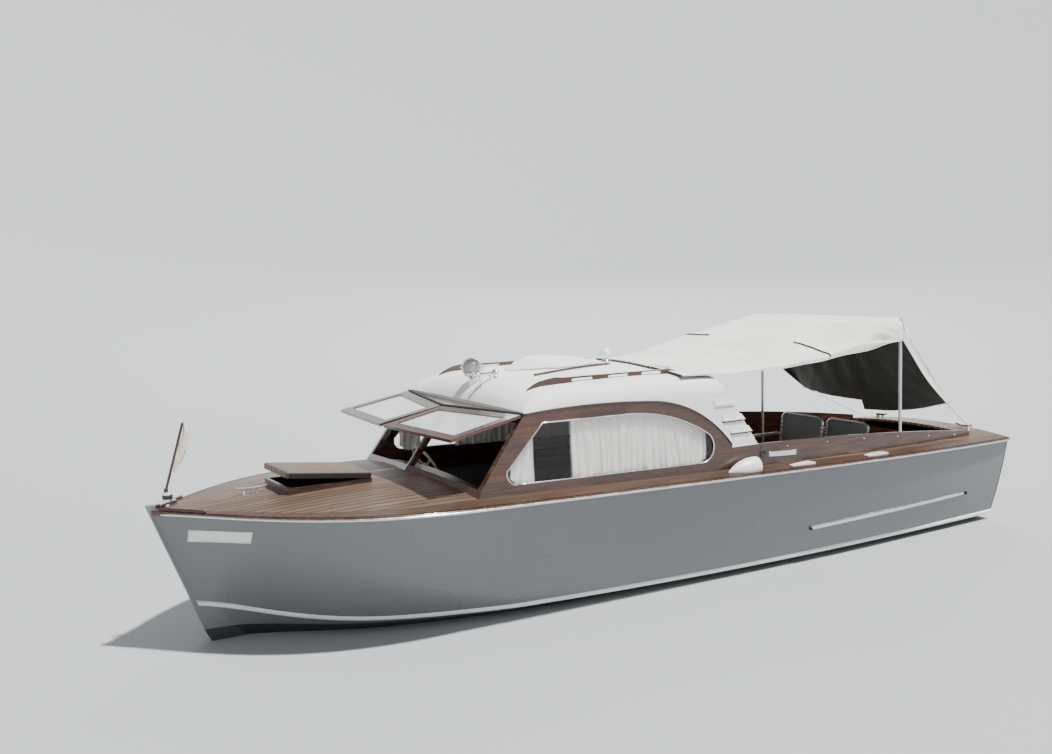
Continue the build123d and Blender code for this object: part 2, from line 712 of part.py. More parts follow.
# Inside: soles on the planking, aft bulkhead with its door, lining, berths and seats
with BuildPart() as hull_room:
    add(hull_space.part)
    add(below_deck, mode=Mode.INTERSECT)
    split(bisect_by=stern_plane.offset(transom_thickness), keep=Keep.TOP)
bulkhead_aft, bulkhead_fore = bulkhead_x - side_thickness / 2, bulkhead_x + side_thickness / 2
with BuildPart() as sole:
    with Locations(((bulkhead_aft + aft_deck_x - 100) / 2, 0, cockpit_sole_z - sole_thickness / 2)):
        Box(bulkhead_aft - aft_deck_x + 100, 2400, sole_thickness)
    with Locations(((bulkhead_fore + opening_fore_x) / 2, 0, cabin_sole_z - sole_thickness / 2)):
        Box(opening_fore_x - bulkhead_fore, 1000, sole_thickness)
    add(hull_room.part, mode=Mode.INTERSECT)
door_low_z, door_high_z = cockpit_sole_z + 30, 1560
with BuildPart() as aft_bulkhead:
    add(hull_room.part)
    add(roof_inner)
    with Locations((bulkhead_x, 0, 800)):
        Box(side_thickness, 2400, 2400, mode=Mode.INTERSECT)
    with Locations((bulkhead_x, 0, (door_low_z + door_high_z) / 2)):
        Box(100, door_width, door_high_z - door_low_z, mode=Mode.SUBTRACT)
    add(cabin_side_port.part, mode=Mode.SUBTRACT)
    add(cabin_side_starboard.part, mode=Mode.SUBTRACT)
door_hinge_x, door_hinge_y = bulkhead_aft - knuckle_radius - running_gap, door_width / 2
with BuildPart() as cabin_door:
    with Locations((bulkhead_x, 0, (door_low_z + door_high_z) / 2)):
        Box(side_thickness, door_width - 2 * door_gap, door_high_z - door_low_z - 2 * door_gap)
    with Locations((bulkhead_x, 0, door_high_z - pane_drop)):
        Box(2 * side_thickness, *pane_size, mode=Mode.SUBTRACT)
        Box(glass_thickness, *pane_size)
    for level in (door_low_z + 200, door_high_z - 200):
        with Locations((door_hinge_x, door_hinge_y, level)):
            Cylinder(knuckle_radius, knuckle_length)
        with Locations((bulkhead_aft - 1.5, door_hinge_y - 22, level)):
            Box(3, 42, knuckle_length)
with BuildPart() as cockpit_lining:
    with BuildSketch(Plane.XY.offset(cockpit_sole_z)):
        for outer_gap, mode in ((coaming_thickness, Mode.ADD), (coaming_thickness + lining_thickness, Mode.SUBTRACT)):
            with BuildLine():
                fore, mid, aft = [(q[0], q[1] - outer_gap) for q in
                                  ((cabin_aft_x, coaming_fore_y), coaming_mid, (coaming_aft_x, coaming_aft_y))]
                ThreePointArc(fore, mid, aft)
                inset = lining_thickness if mode == Mode.SUBTRACT else 0
                Polyline(aft, (aft_deck_x + inset, aft[1] - 12), (aft_deck_x + inset, 0), (bulkhead_aft, 0),
                         (bulkhead_aft, fore[1]), fore)
            make_face(mode=mode)
    extrude(amount=coaming_low_z - cockpit_sole_z)
    mirror(about=Plane.XZ)
    add(hull_room.part, mode=Mode.INTERSECT)
with BuildPart() as helm_console:
    with Locations((opening_fore_x - dash_thickness / 2, 0, dash_middle_z)):
        Box(dash_thickness, wide, dash_height)
        with Locations((0, 0, -dash_height / 3)):
            Box(2 * dash_thickness, gangway, dash_height * 1.3, mode=Mode.SUBTRACT)
    with Locations((opening_fore_x - pod_size[0] / 2 - dash_thickness / 2, helm_y, helm_z)):
        Box(*pod_size)
    add(hull_room.part, mode=Mode.INTERSECT)
    add(cabin_side_port.part, mode=Mode.SUBTRACT)
    add(cabin_side_starboard.part, mode=Mode.SUBTRACT)
helm_lean = radians(helm_tilt)
helm_axis = (-sin(helm_lean), 0, cos(helm_lean))
column_foot = (opening_fore_x - pod_size[0] - dash_thickness / 2, helm_y, helm_z)
helm_plane = Plane(origin=column_foot, x_dir=(0, 1, 0), z_dir=helm_axis)
with BuildPart() as steering_wheel:
    with BuildSketch(helm_plane.offset((column_radius * cos(helm_lean) + running_gap) / sin(helm_lean))):
        Circle(column_radius)
    extrude(amount=wheel_reach)
    with BuildSketch(helm_plane.offset(wheel_reach - 30)):
        Circle(hub_disc)
    extrude(amount=30)
    rim_plane = helm_plane.offset(wheel_reach)
    with BuildSketch(Plane(origin=rim_plane.origin, x_dir=rim_plane.x_dir, z_dir=rim_plane.y_dir)):
        with Locations((wheel_radius - wheel_rim, 0)):
            Circle(wheel_rim)
    revolve(axis=Axis(origin=rim_plane.origin, direction=rim_plane.z_dir))
    with BuildSketch(helm_plane.offset(wheel_reach - 14)):
        with PolarLocations(wheel_radius / 2, 3, start_angle=90):
            Rectangle(wheel_radius - 20, 20)
    extrude(amount=10)
with BuildPart() as berths:
    with Locations((berth_x, 0, berth_z)):
        Box(berth_length, wide, berth_thickness)
        with Locations((berth_well[0] / 2 - berth_length / 2 - 50, 0, 0)):
            Box(berth_well[0], berth_well[1], 2 * berth_thickness, mode=Mode.SUBTRACT)
    add(hull_room.part, mode=Mode.INTERSECT)
with BuildPart() as settees:
    with Locations((settee_x, 0, (cabin_sole_z + settee_top) / 2)):
        Box(settee_length, wide, settee_top - cabin_sole_z)
        Box(2 * settee_length, settee_aisle, 2 * settee_top, mode=Mode.SUBTRACT)
    add(hull_room.part, mode=Mode.INTERSECT)
with BuildPart() as curtains:
    add(extrude(window_outline(), amount=side_thickness + curtain_depth, mode=Mode.PRIVATE))
    add(extrude(window_outline(), amount=side_thickness + curtain_gap, mode=Mode.PRIVATE), mode=Mode.SUBTRACT)
    with BuildPart(mode=Mode.INTERSECT):
        for fore_x, aft_x in curtain_spans:
            with Locations(((fore_x + aft_x) / 2, side_foot_y, side_foot_z)):
                Box(fore_x - aft_x, 400, 1200)
    mirror(about=Plane.XZ)

# Engine on its bearers, shaft with propeller, strut and rudder
with BuildPart() as engine:
    with Locations((engine_aft_x + engine_size[0] / 2, 0, cockpit_sole_z - sole_thickness - 18 - engine_size[2] / 2)):
        Box(*engine_size)
with BuildPart() as engine_bearers:
    with Locations((engine_aft_x + engine_size[0] / 2, 150, -200), (engine_aft_x + engine_size[0] / 2, -150, -200)):
        Box(1000, 50, 300)
    add(hull_room.part, mode=Mode.INTERSECT)
    add(engine.part, mode=Mode.SUBTRACT)
hub_radius, hub_length, blade_thickness = 30, 90, 10
blade_table = [(20, 70, 52), (75, 105, 36), (125, 95, 26), (prop_diameter / 2 - 4, 40, 22)]
with BuildPart() as propeller:
    with BuildSketch(shaft_plane.offset(-hub_length / 2)):
        Circle(hub_radius)
    extrude(amount=hub_length)
    for blade in range(3):
        spin = radians(120 * blade + 90)
        radial = shaft_plane.x_dir * cos(spin) + shaft_plane.y_dir * sin(spin)
        around = shaft_plane.z_dir.cross(radial)
        for reach, chord, pitch in blade_table:
            chord_dir = around * cos(radians(pitch)) + shaft_plane.z_dir * sin(radians(pitch))
            with BuildSketch(Plane(origin=shaft_plane.origin + radial * reach, x_dir=chord_dir, z_dir=radial)):
                with BuildLine():
                    ThreePointArc((-chord / 2, 0), (0, blade_thickness / 2), (chord / 2, 0))
                    ThreePointArc((chord / 2, 0), (0, -blade_thickness / 2), (-chord / 2, 0))
                make_face()
        loft()
with BuildPart() as propeller_shaft:
    with BuildSketch(shaft_plane.offset(hub_length / 2)):
        Circle(shaft_diameter / 2)
    extrude(amount=shaft_length - hub_length / 2 - 9)
with BuildPart() as shaft_strut:
    with BuildSketch(shaft_plane.offset(75)):
        Circle(27)
    extrude(amount=90)
    strut_x = prop_x + 120 * cos(shaft_slope)
    with Locations((strut_x, 0, -220)):
        Box(70, 14, 240)
    with BuildSketch(shaft_plane.offset(60)):
        Circle(shaft_diameter / 2 + 0.6)
    extrude(amount=120, mode=Mode.SUBTRACT)
    add(hull_solid.part, mode=Mode.SUBTRACT)
    with Locations((strut_x, 0, -700)):
        Box(300, 300, 560, mode=Mode.SUBTRACT)
with BuildPart() as rudder:
    with BuildSketch(Plane.XZ):
        with BuildLine():
            top, low = rudder_top_z, rudder_top_z - rudder_height
            Polyline((rudder_x + 75, low + 60), (rudder_x + 75, top - 6), (rudder_x - rudder_chord + 75, top - 6),
                     (rudder_x - rudder_chord + 55, low))
            ThreePointArc((rudder_x - rudder_chord + 55, low), (rudder_x, low), (rudder_x + 75, low + 60))
        make_face()
    extrude(amount=9, both=True)
    with BuildSketch(Plane.XY.offset(rudder_top_z - rudder_height / 2)):
        with Locations((rudder_x, 0)):
            Circle(stock_diameter / 2)
    extrude(amount=rudder_height / 2 + 330)

# Awning over the cockpit: top, aft flap and side valances on two poles
with BuildPart() as awning_canvas:
    with BuildSketch(Plane.XZ):
        with BuildLine():
            Polyline(*awning_crown, flap_low)
            offset(amount=awning_thickness / 2, side=Side.BOTH)
        make_face()
    extrude(amount=awning_half, both=True)
    with BuildSketch(Plane.XZ.offset(-awning_half)):
        with BuildLine():
            Polyline(*awning_crown, *awning_hem, close=True)
        make_face()
    extrude(amount=awning_thickness)
    mirror(about=Plane.XZ)
coaming_line = [(cabin_aft_x, coaming_fore_y), coaming_mid, (coaming_aft_x, coaming_aft_y)]
coaming_top = [(cabin_aft_x, coaming_fore_z), (-2050, coaming_mid_z), (coaming_aft_x, 862)]
pole_foot_y = arc_value(*coaming_line, pole_x) - coaming_thickness / 2
pole_foot_z = arc_value(*coaming_top, pole_x + pole_diameter / 2) + running_gap
pole_table = [(pole_x, pole_foot_y, pole_foot_z), (*pole_fore, cockpit_sole_z)]
bar_start, bar_run = Vector(bar_ends[0]), Vector(bar_ends[1]) - Vector(bar_ends[0])
with BuildPart() as awning_frame:
    for foot_x, foot_y, foot_z in pole_table:
        share = (foot_y - bar_start.Y) / bar_run.Y
        with BuildSketch(Plane.XY.offset(foot_z)):
            with Locations((foot_x, foot_y)):
                Circle(pole_diameter / 2)
        extrude(amount=bar_start.Z + share * bar_run.Z - foot_z)
    with BuildSketch(Plane(origin=bar_start, z_dir=bar_run)):
        Circle(pole_diameter / 2)
    extrude(amount=bar_run.length)
    with Locations((awning_crown[0][0] - 35, 0, awning_crown[0][1] - 30)):
        Box(34, 1300, 56)
    add(roof_outer, mode=Mode.SUBTRACT)
    add(awning_canvas.part, mode=Mode.SUBTRACT)
with BuildPart() as guy_lines:
    guy_head = Vector(flap_low[0], awning_half - 12, flap_low[1])
    guy_run = Vector(guy_foot) - guy_head
    with BuildSketch(Plane(origin=guy_head, z_dir=guy_run)):
        Circle(guy_diameter / 2)
    extrude(amount=guy_run.length)
    mirror(about=Plane.XZ)
    add(awning_canvas.part, mode=Mode.SUBTRACT)

# Fittings
deck_z = lambda x, y: next_level(x) - y**2 / (2 * deck_radius)


def next_level(x):
    """Height of the deck's centre line between the two nearest hull sections."""
    for low, high in zip(hull_table, hull_table[1:]):
        if low[0] <= x <= high[0]:
            share = (x - low[0]) / (high[0] - low[0])
            mix = [a + (b - a) * share for a, b in zip(low, high)]
            return mix[3] + mix[2] ** 2 / (2 * deck_radius)


cleat_table = [(3110, 0, 230, 0), (-3640, 520, 200, 90), (-3640, -520, 200, 90)]
with BuildPart() as cleats:
    for cleat_x, cleat_y, length, turn in cleat_table:
        base_z = deck_z(cleat_x, cleat_y)
        cleat_plane = Plane(origin=(cleat_x, cleat_y, base_z), x_dir=(cos(radians(turn)), sin(radians(turn)), 0),
                            z_dir=(sin(radians(turn)), -cos(radians(turn)), 0))
        with BuildSketch(cleat_plane):
            with BuildLine():
                horn_tip, horn_low = (length / 2, 58), (length / 2, 50)
                ThreePointArc((-length / 2, 58), (0, 48), horn_tip)
                Line(horn_tip, horn_low)
                Polyline(horn_low, (48, 32), (60, -12), (30, -12), (22, 28), (-22, 28), (-30, -12), (-60, -12),
                         (-48, 32), (-length / 2, 50), (-length / 2, 58))
            make_face()
        extrude(amount=11, both=True)
    add(deck_solid.part, mode=Mode.SUBTRACT)
    add(below_deck, mode=Mode.SUBTRACT)
vent_nose, vent_mouth, vent_y, vent_radius, vent_wall = -320, -610, 1048, 68, 5
vent_low, vent_high = deck_z(vent_nose, vent_y) - 4, deck_z(vent_mouth, vent_y) + 34
vent_run = Vector(vent_mouth - vent_nose, 0, vent_high - vent_low)
vent_plane = Plane(origin=(vent_nose, vent_y, vent_low), x_dir=vent_run, z_dir=(0, 1, 0))
with BuildPart() as vents:
    for inset, mode in ((0, Mode.ADD), (vent_wall, Mode.SUBTRACT)):
        with BuildSketch(vent_plane):
            with BuildLine():
                tip, rim = (inset * 3, 0), (vent_run.length, vent_radius - inset)
                ThreePointArc(tip, (vent_run.length * 0.32, (vent_radius - inset) * 0.72), rim)
                Polyline(rim, (vent_run.length, 0), tip)
            make_face()
        revolve(axis=Axis(origin=vent_plane.origin, direction=vent_run), mode=mode)
    mirror(about=Plane.XZ)
    add(deck_solid.part, mode=Mode.SUBTRACT)
    add(below_deck, mode=Mode.SUBTRACT)
    add(cabin_side_port.part, mode=Mode.SUBTRACT)
    add(cabin_side_starboard.part, mode=Mode.SUBTRACT)
with BuildPart() as step_pads:
    for pad_x, pad_y in pad_places:
        with Locations((pad_x, pad_y, deck_z(pad_x, pad_y))):
            Box(*pad_size)
    mirror(about=Plane.XZ)
    add(deck_solid.part, mode=Mode.SUBTRACT)
    add(below_deck, mode=Mode.SUBTRACT)
lamp_dir = Vector(cos(radians(lamp_yaw)), sin(radians(lamp_yaw)), 0)
lamp_plane = Plane(origin=(lamp_x, 0, lamp_z), x_dir=lamp_dir, z_dir=(lamp_dir.Y, -lamp_dir.X, 0))
with BuildPart() as searchlight:
    with BuildSketch(lamp_plane):
        with BuildLine():
            Polyline((lamp_front - 8, 0), (lamp_front - 8, lamp_radius - 7), (lamp_front, lamp_radius - 7),
                     (lamp_front, lamp_radius), (lamp_front - 28, lamp_radius))
            ThreePointArc((lamp_front - 28, lamp_radius), (-lamp_back * 0.6, lamp_radius * 0.72), (-lamp_back, 0))
            Line((-lamp_back, 0), (lamp_front - 8, 0))
        make_face()
    revolve(axis=Axis(origin=lamp_plane.origin, direction=lamp_dir))
    with BuildSketch(Plane.XY.offset(lamp_foot_z + running_gap)):
        with Locations((lamp_x, 0)):
            Circle(lamp_stem_radius)
    extrude(amount=lamp_z - lamp_foot_z - lamp_radius / 2)
with BuildPart() as searchlight_foot:
    with Locations((lamp_x, 0, lamp_foot_z)):
        Cylinder(lamp_foot_radius, 80, align=(Align.CENTER, Align.CENTER, Align.MAX))
    add(roof_outer, mode=Mode.SUBTRACT)
with BuildPart() as horn:
    with BuildSketch(Plane.XZ.offset(-horn_y)):
        with BuildLine():
            bell, throat = horn_x + 205, horn_x + 145
            Polyline((horn_x, horn_z), (horn_x, horn_z + 14), (throat, horn_z + 16))
            ThreePointArc((throat, horn_z + 16), (bell - 18, horn_z + 22), (bell, horn_z + 36))
            Polyline((bell, horn_z + 36), (bell, horn_z + 31), (bell - 20, horn_z + 17), (throat, horn_z + 8),
                     (throat, horn_z), (horn_x, horn_z))
        make_face()
    revolve(axis=Axis(origin=(horn_x, horn_y, horn_z), direction=(1, 0, 0)))
    with Locations((horn_x + 30, horn_y, horn_z - 36), (horn_x + 120, horn_y, horn_z - 36)):
        Box(24, 30, 60)
    add(roof_outer, mode=Mode.SUBTRACT)
with BuildPart() as mast_light:
    with Locations((mast_x, 0, globe_z)):
        Cylinder(globe_radius / 2, globe_z - roof_eave_z, align=(Align.CENTER, Align.CENTER, Align.MAX))
        Sphere(globe_radius)
    add(roof_outer, mode=Mode.SUBTRACT)
    split(bisect_by=Plane.XY.offset(globe_z - 1.6 * globe_radius), keep=Keep.TOP)
with BuildPart() as bow_light:
    chock_z = deck_z(chock_x, 0)
    with Locations((chock_x, 0, chock_z + 22)):
        Box(110, 52, 60)
    with BuildSketch(Plane.XY.offset(chock_z + bow_lamp_low)):
        with Locations((chock_x, 0)):
            Circle(bow_lamp_radius)
    extrude(amount=bow_lamp_top - bow_lamp_low)
    with BuildSketch(Plane.XZ.offset(-60)):
        with Locations((chock_x + 8, chock_z + 26)):
            Circle(chock_bore)
    extrude(amount=120, mode=Mode.SUBTRACT)
    add(deck_solid.part, mode=Mode.SUBTRACT)
    add(below_deck, mode=Mode.SUBTRACT)
staff_low, staff_run = Vector(staff_foot), Vector(staff_head) - Vector(staff_foot)
with BuildPart() as bow_staff:
    with BuildSketch(Plane(origin=staff_low, z_dir=staff_run)):
        Circle(staff_diameter / 2)
    extrude(amount=staff_run.length)
    with Locations((staff_low.X, 0, chock_z + bow_lamp_top + running_gap)):
        Cylinder(*staff_socket, align=(Align.CENTER, Align.CENTER, Align.MIN))
    split(bisect_by=Plane.XY.offset(chock_z + bow_lamp_top + running_gap), keep=Keep.TOP)
with BuildPart() as pennant:
    with BuildSketch(Plane.XZ):
        with BuildLine():
            beside = staff_low - Vector(staff_diameter / 2 + 1)
            near = [beside + staff_run.normalized() * reach for reach in pennant_reach]
            Polyline((near[0].X, near[0].Z), (near[1].X, near[1].Z), (near[1].X - 55, near[1].Z - 60),
                     (near[0].X - 40, near[0].Z - 90), close=True)
        make_face()
    extrude(amount=14, both=True)

# Spare canvas folded on the roof
with BuildPart() as spare_canvas:
    with BuildSketch(Plane.XZ):
        with BuildLine():
            Spline(*bundle_profile)
            Polyline(bundle_profile[-1], (bundle_profile[-1][0], 1600), (bundle_profile[0][0], 1600),
                     bundle_profile[0])
        make_face()
    extrude(amount=600, both=True)
    with BuildSketch(Plane.XY.offset(1600)):
        with Locations(bundle_middle):
            Ellipse(bundle_size[0] / 2, bundle_size[1] / 2)
    extrude(amount=300, mode=Mode.INTERSECT)
    add(roof_outer, mode=Mode.SUBTRACT)

# Folding chairs on the cockpit sole: bent tube with a slung back and seat


def bent_tube(points):
    """Round tube along corners that are all bent to one radius."""
    with BuildPart() as body:
        with BuildLine() as line:
            FilletPolyline(*points, radius=chair_bend)
        with BuildSketch(Plane(origin=line.line @ 0, z_dir=line.line % 0)):
            Circle(chair_tube / 2)
        sweep()
    return body.part


def slung_cloth(y, low, high):
    """Flat panel across a chair between two points of its side view."""
    run = Vector(high[0] - low[0], 0, high[1] - low[1])
    with BuildPart() as body:
        with BuildSketch(Plane(origin=(low[0], y, low[1]), x_dir=run, z_dir=(0, 1, 0))):
            with Locations((run.length / 2, 0)):
                Rectangle(run.length, cloth_thickness)
        extrude(amount=chair_width / 2, both=True)
    return body.part


def chair_frame(x, y, back_height):
    """Back, seat and side loops of one chair, joined by a rail across each pair of feet."""
    foot, seat, top = cockpit_sole_z + chair_tube / 2, cockpit_sole_z + chair_seat, cockpit_sole_z + back_height
    half, fore, aft = chair_width / 2, x + chair_depth / 2, x - chair_depth / 2
    arm = seat + chair_arm
    with BuildPart() as body:
        add(bent_tube([(aft, y - half, seat), (aft - back_lean, y - half, top), (aft - back_lean, y + half, top),
                       (aft, y + half, seat)]))
        add(bent_tube([(aft, y - half, seat), (fore, y - half, seat), (fore, y + half, seat), (aft, y + half, seat)]))
        for side in (-1, 1):
            arm_y = y + side * (half + chair_tube * 0.75)
            add(bent_tube([(fore - 30, arm_y, foot), (fore - 50, arm_y, arm), (aft - 40, arm_y, arm),
                           (aft - 20, arm_y, foot)]))
        for end in (fore - 30, aft - 20):
            with Locations((end, y, foot)):
                Box(chair_tube, chair_width + 2.4 * chair_tube, chair_tube)
    return body.part


with BuildPart() as chair_frames:
    for place in chair_places:
        add(chair_frame(*place))
with BuildPart() as chair_cloths:
    for x, y, back_height in chair_places:
        aft, seat, top = x - chair_depth / 2, cockpit_sole_z + chair_seat, cockpit_sole_z + back_height
        add(slung_cloth(y, (aft - back_lean * 0.2, seat + (top - seat) * 0.2), (aft - back_lean, top)))
        add(slung_cloth(y, (aft + 30, seat), (x + chair_depth / 2, seat)))
    add(chair_frames.part, mode=Mode.SUBTRACT)

parts = {
    "bottom_port": bottom_port, "bottom_starboard": bottom_starboard, "topside_port": topside_port,
    "topside_starboard": topside_starboard, "transom": transom, "stem_and_keel": stem_and_keel,
    "rub_rails": rub_rails, "chine_rails": chine_rails, "guard_mouldings": guard_mouldings,
    "foredeck": foredeck, "aft_deck": aft_deck, "side_deck_port": side_deck_port,
    "side_deck_starboard": side_deck_starboard, "coaming_port": coaming_port,
    "coaming_starboard": coaming_starboard, "hatch_coaming": hatch_coaming, "hatch_lid": hatch_lid,
    "windshield_frame": windshield_frame, "sash_port": sash_port, "sash_starboard": sash_starboard,
    "sash_glass_port": sash_glass_port, "sash_glass_starboard": sash_glass_starboard,
    "cabin_side_port": cabin_side_port, "cabin_side_starboard": cabin_side_starboard,
    "side_window_glass": side_window_glass, "cabin_roof": cabin_roof,
    "louvre_quarter_port": louvre_quarter_port, "louvre_quarter_starboard": louvre_quarter_starboard,
    "grab_rails": grab_rails, "sole": sole, "aft_bulkhead": aft_bulkhead, "cabin_door": cabin_door,
    "cockpit_lining": cockpit_lining, "helm_console": helm_console, "steering_wheel": steering_wheel,
    "berths": berths, "settees": settees, "curtains": curtains, "engine": engine,
    "engine_bearers": engine_bearers, "propeller": propeller, "propeller_shaft": propeller_shaft,
    "shaft_strut": shaft_strut, "rudder": rudder, "awning_canvas": awning_canvas,
    "awning_frame": awning_frame, "guy_lines": guy_lines, "cleats": cleats, "vents": vents,
    "step_pads": step_pads, "searchlight": searchlight, "searchlight_foot": searchlight_foot,
    "spare_canvas": spare_canvas, "horn": horn, "mast_light": mast_light,
    "bow_light": bow_light, "bow_staff": bow_staff, "pennant": pennant, "chair_frames": chair_frames,
    "chair_cloths": chair_cloths,
}
for name, piece in parts.items():
    piece.part.label = name
    export_step(piece.part, f"parts/{name}.step")
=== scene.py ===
import bpy
import math
import random
from mathutils import Matrix, Vector, noise
from mathutils.bvhtree import BVHTree


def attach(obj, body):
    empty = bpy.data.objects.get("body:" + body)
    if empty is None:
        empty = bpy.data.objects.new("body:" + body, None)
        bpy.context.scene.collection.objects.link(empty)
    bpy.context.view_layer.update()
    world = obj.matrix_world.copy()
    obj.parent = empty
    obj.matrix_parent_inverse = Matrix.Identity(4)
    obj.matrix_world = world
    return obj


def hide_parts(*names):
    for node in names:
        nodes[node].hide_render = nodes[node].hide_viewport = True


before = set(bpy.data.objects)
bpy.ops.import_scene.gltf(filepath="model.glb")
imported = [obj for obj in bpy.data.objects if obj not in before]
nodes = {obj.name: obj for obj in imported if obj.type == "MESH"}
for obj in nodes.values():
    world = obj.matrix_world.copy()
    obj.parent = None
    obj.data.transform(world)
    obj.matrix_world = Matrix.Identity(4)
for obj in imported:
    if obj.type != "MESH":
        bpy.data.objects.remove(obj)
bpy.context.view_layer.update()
print("hull and cabin loaded")


# Half width of the deck at its edge, by distance along the hull
halfLength = 3.81
sheerHalf = [(-3.81, 0.880), (-2.104, 1.066), (-0.397, 1.124), (1.31, 1.131), (1.81, 1.127), (2.31, 1.085),
             (2.81, 0.912), (3.31, 0.540), (3.81, 0.03)]


# Shader helpers: a value is a number, a colour or another node's output
def addNode(tree, kind, **settings):
    node = tree.nodes.new(kind)
    for key, value in settings.items():
        setattr(node, key, value)
    return node


def setSocket(tree, socket, value):
    if isinstance(value, (int, float, tuple)):
        socket.default_value = value
    else:
        tree.links.new(value, socket)


def fill(tree, node, **values):
    for label, value in values.items():
        setSocket(tree, node.inputs[label.replace("_", " ")], value)
    return node


def startGroup(name, inputs, outputs):
    tree = bpy.data.node_groups.new(name, "ShaderNodeTree")
    kinds = {"color": "NodeSocketColor", "value": "NodeSocketFloat", "vector": "NodeSocketVector"}
    for label, kind, value in inputs:
        tree.interface.new_socket(label, in_out="INPUT", socket_type=kinds[kind]).default_value = value
    for label, kind in outputs:
        tree.interface.new_socket(label, in_out="OUTPUT", socket_type=kinds[kind])
    return tree, tree.nodes.new("NodeGroupInput").outputs, tree.nodes.new("NodeGroupOutput")


def mathNode(tree, operation, first, second=None):
    node = addNode(tree, "ShaderNodeMath", operation=operation)
    setSocket(tree, node.inputs[0], first)
    if second is not None:
        setSocket(tree, node.inputs[1], second)
    return node.outputs[0]


def blendColors(tree, share, low, high):
    node = addNode(tree, "ShaderNodeMix", data_type="RGBA")
    for place, value in ((0, share), (6, low), (7, high)):
        setSocket(tree, node.inputs[place], value)
    return node.outputs[2]


def spread(tree, value, low, high, start=0.0, end=1.0):
    node = addNode(tree, "ShaderNodeMapRange")
    for place, number in enumerate((value, low, high, start, end)):
        setSocket(tree, node.inputs[place], number)
    return node.outputs[0]


def noiseAt(tree, place, scale, detail=5.0, roughness=0.55, warp=0.0):
    node = addNode(tree, "ShaderNodeTexNoise")
    fill(tree, node, Vector=place, Scale=scale, Detail=detail, Roughness=roughness, Distortion=warp)
    return node.outputs["Fac"]


def scalePlace(tree, place, factors):
    node = addNode(tree, "ShaderNodeVectorMath", operation="MULTIPLY")
    setSocket(tree, node.inputs[0], place)
    setSocket(tree, node.inputs[1], factors)
    return node.outputs[0]


def splitPlace(tree, place):
    return fill(tree, addNode(tree, "ShaderNodeSeparateXYZ"), Vector=place).outputs


placeInput = ("Place", "vector", (0, 0, 0))
surfaceOutputs = [("Color", "color"), ("Gloss", "value"), ("Height", "value")]


def buildGrain():
    tree, given, result = startGroup(
        "mahoganyGrain",
        [placeInput, ("Stretch", "vector", (1, 1, 1)), ("Light", "color", (0.3, 0.1, 0.04, 1)),
         ("Dark", "color", (0.1, 0.03, 0.01, 1))], surfaceOutputs)
    scaled = scalePlace(tree, given["Place"], given["Stretch"])
    figure = noiseAt(tree, scaled, 1.0, 6.0, 0.62, 0.8)
    pores = noiseAt(tree, scaled, 7.0, 3.0, 0.7)
    patches = noiseAt(tree, given["Place"], 1.3, 2.0)
    pored = mathNode(tree, "MULTIPLY", spread(tree, pores, 0.45, 0.75), 0.35)
    share = mathNode(tree, "ADD", spread(tree, figure, 0.32, 0.68), pored)
    share = mathNode(tree, "ADD", share, spread(tree, patches, 0.3, 0.7, -0.18, 0.18))
    share = mathNode(tree, "MINIMUM", mathNode(tree, "MAXIMUM", share, 0.0), 1.0)
    fill(tree, result, Color=blendColors(tree, share, given["Light"], given["Dark"]),
         Gloss=spread(tree, patches, 0.3, 0.7, 0.14, 0.26), Height=pores)
    return tree


def buildPlanks():
    tree, given, result = startGroup(
        "plankSeams", [("Across", "value", 0.0), ("Width", "value", 0.05), ("Gap", "value", 0.004)],
        [("Seam", "value"), ("Board", "value")])
    row = mathNode(tree, "DIVIDE", given["Across"], given["Width"])
    inside = mathNode(tree, "FRACT", row)
    near = mathNode(tree, "MINIMUM", inside, mathNode(tree, "SUBTRACT", 1.0, inside))
    reach = mathNode(tree, "DIVIDE", mathNode(tree, "MULTIPLY", near, given["Width"]), given["Gap"])
    pick = addNode(tree, "ShaderNodeTexWhiteNoise", noise_dimensions="1D")
    fill(tree, pick, W=mathNode(tree, "FLOOR", row))
    fill(tree, result, Seam=spread(tree, reach, 0.35, 0.65, 1.0, 0.0), Board=pick.outputs["Value"])
    return tree


def buildPaint():
    tree, given, result = startGroup(
        "paintFilm",
        [placeInput, ("Paint", "color", (0.7, 0.7, 0.7, 1)), ("Stain", "color", (0.4, 0.38, 0.33, 1)),
         ("Amount", "value", 0.2), ("Low Gloss", "value", 0.2), ("High Gloss", "value", 0.4)],
        surfaceOutputs)
    clouds = noiseAt(tree, given["Place"], 1.1, 5.0, 0.6)
    runs = noiseAt(tree, scalePlace(tree, given["Place"], (9, 9, 0.8)), 1.0, 4.0, 0.6)
    mark = mathNode(tree, "MULTIPLY", spread(tree, clouds, 0.4, 0.75), spread(tree, runs, 0.42, 0.7))
    share = mathNode(tree, "MULTIPLY", mark, given["Amount"])
    fill(tree, result, Color=blendColors(tree, share, given["Paint"], given["Stain"]),
         Gloss=spread(tree, clouds, 0.3, 0.7, given["Low Gloss"], given["High Gloss"]),
         Height=noiseAt(tree, given["Place"], 90.0, 2.0))
    return tree


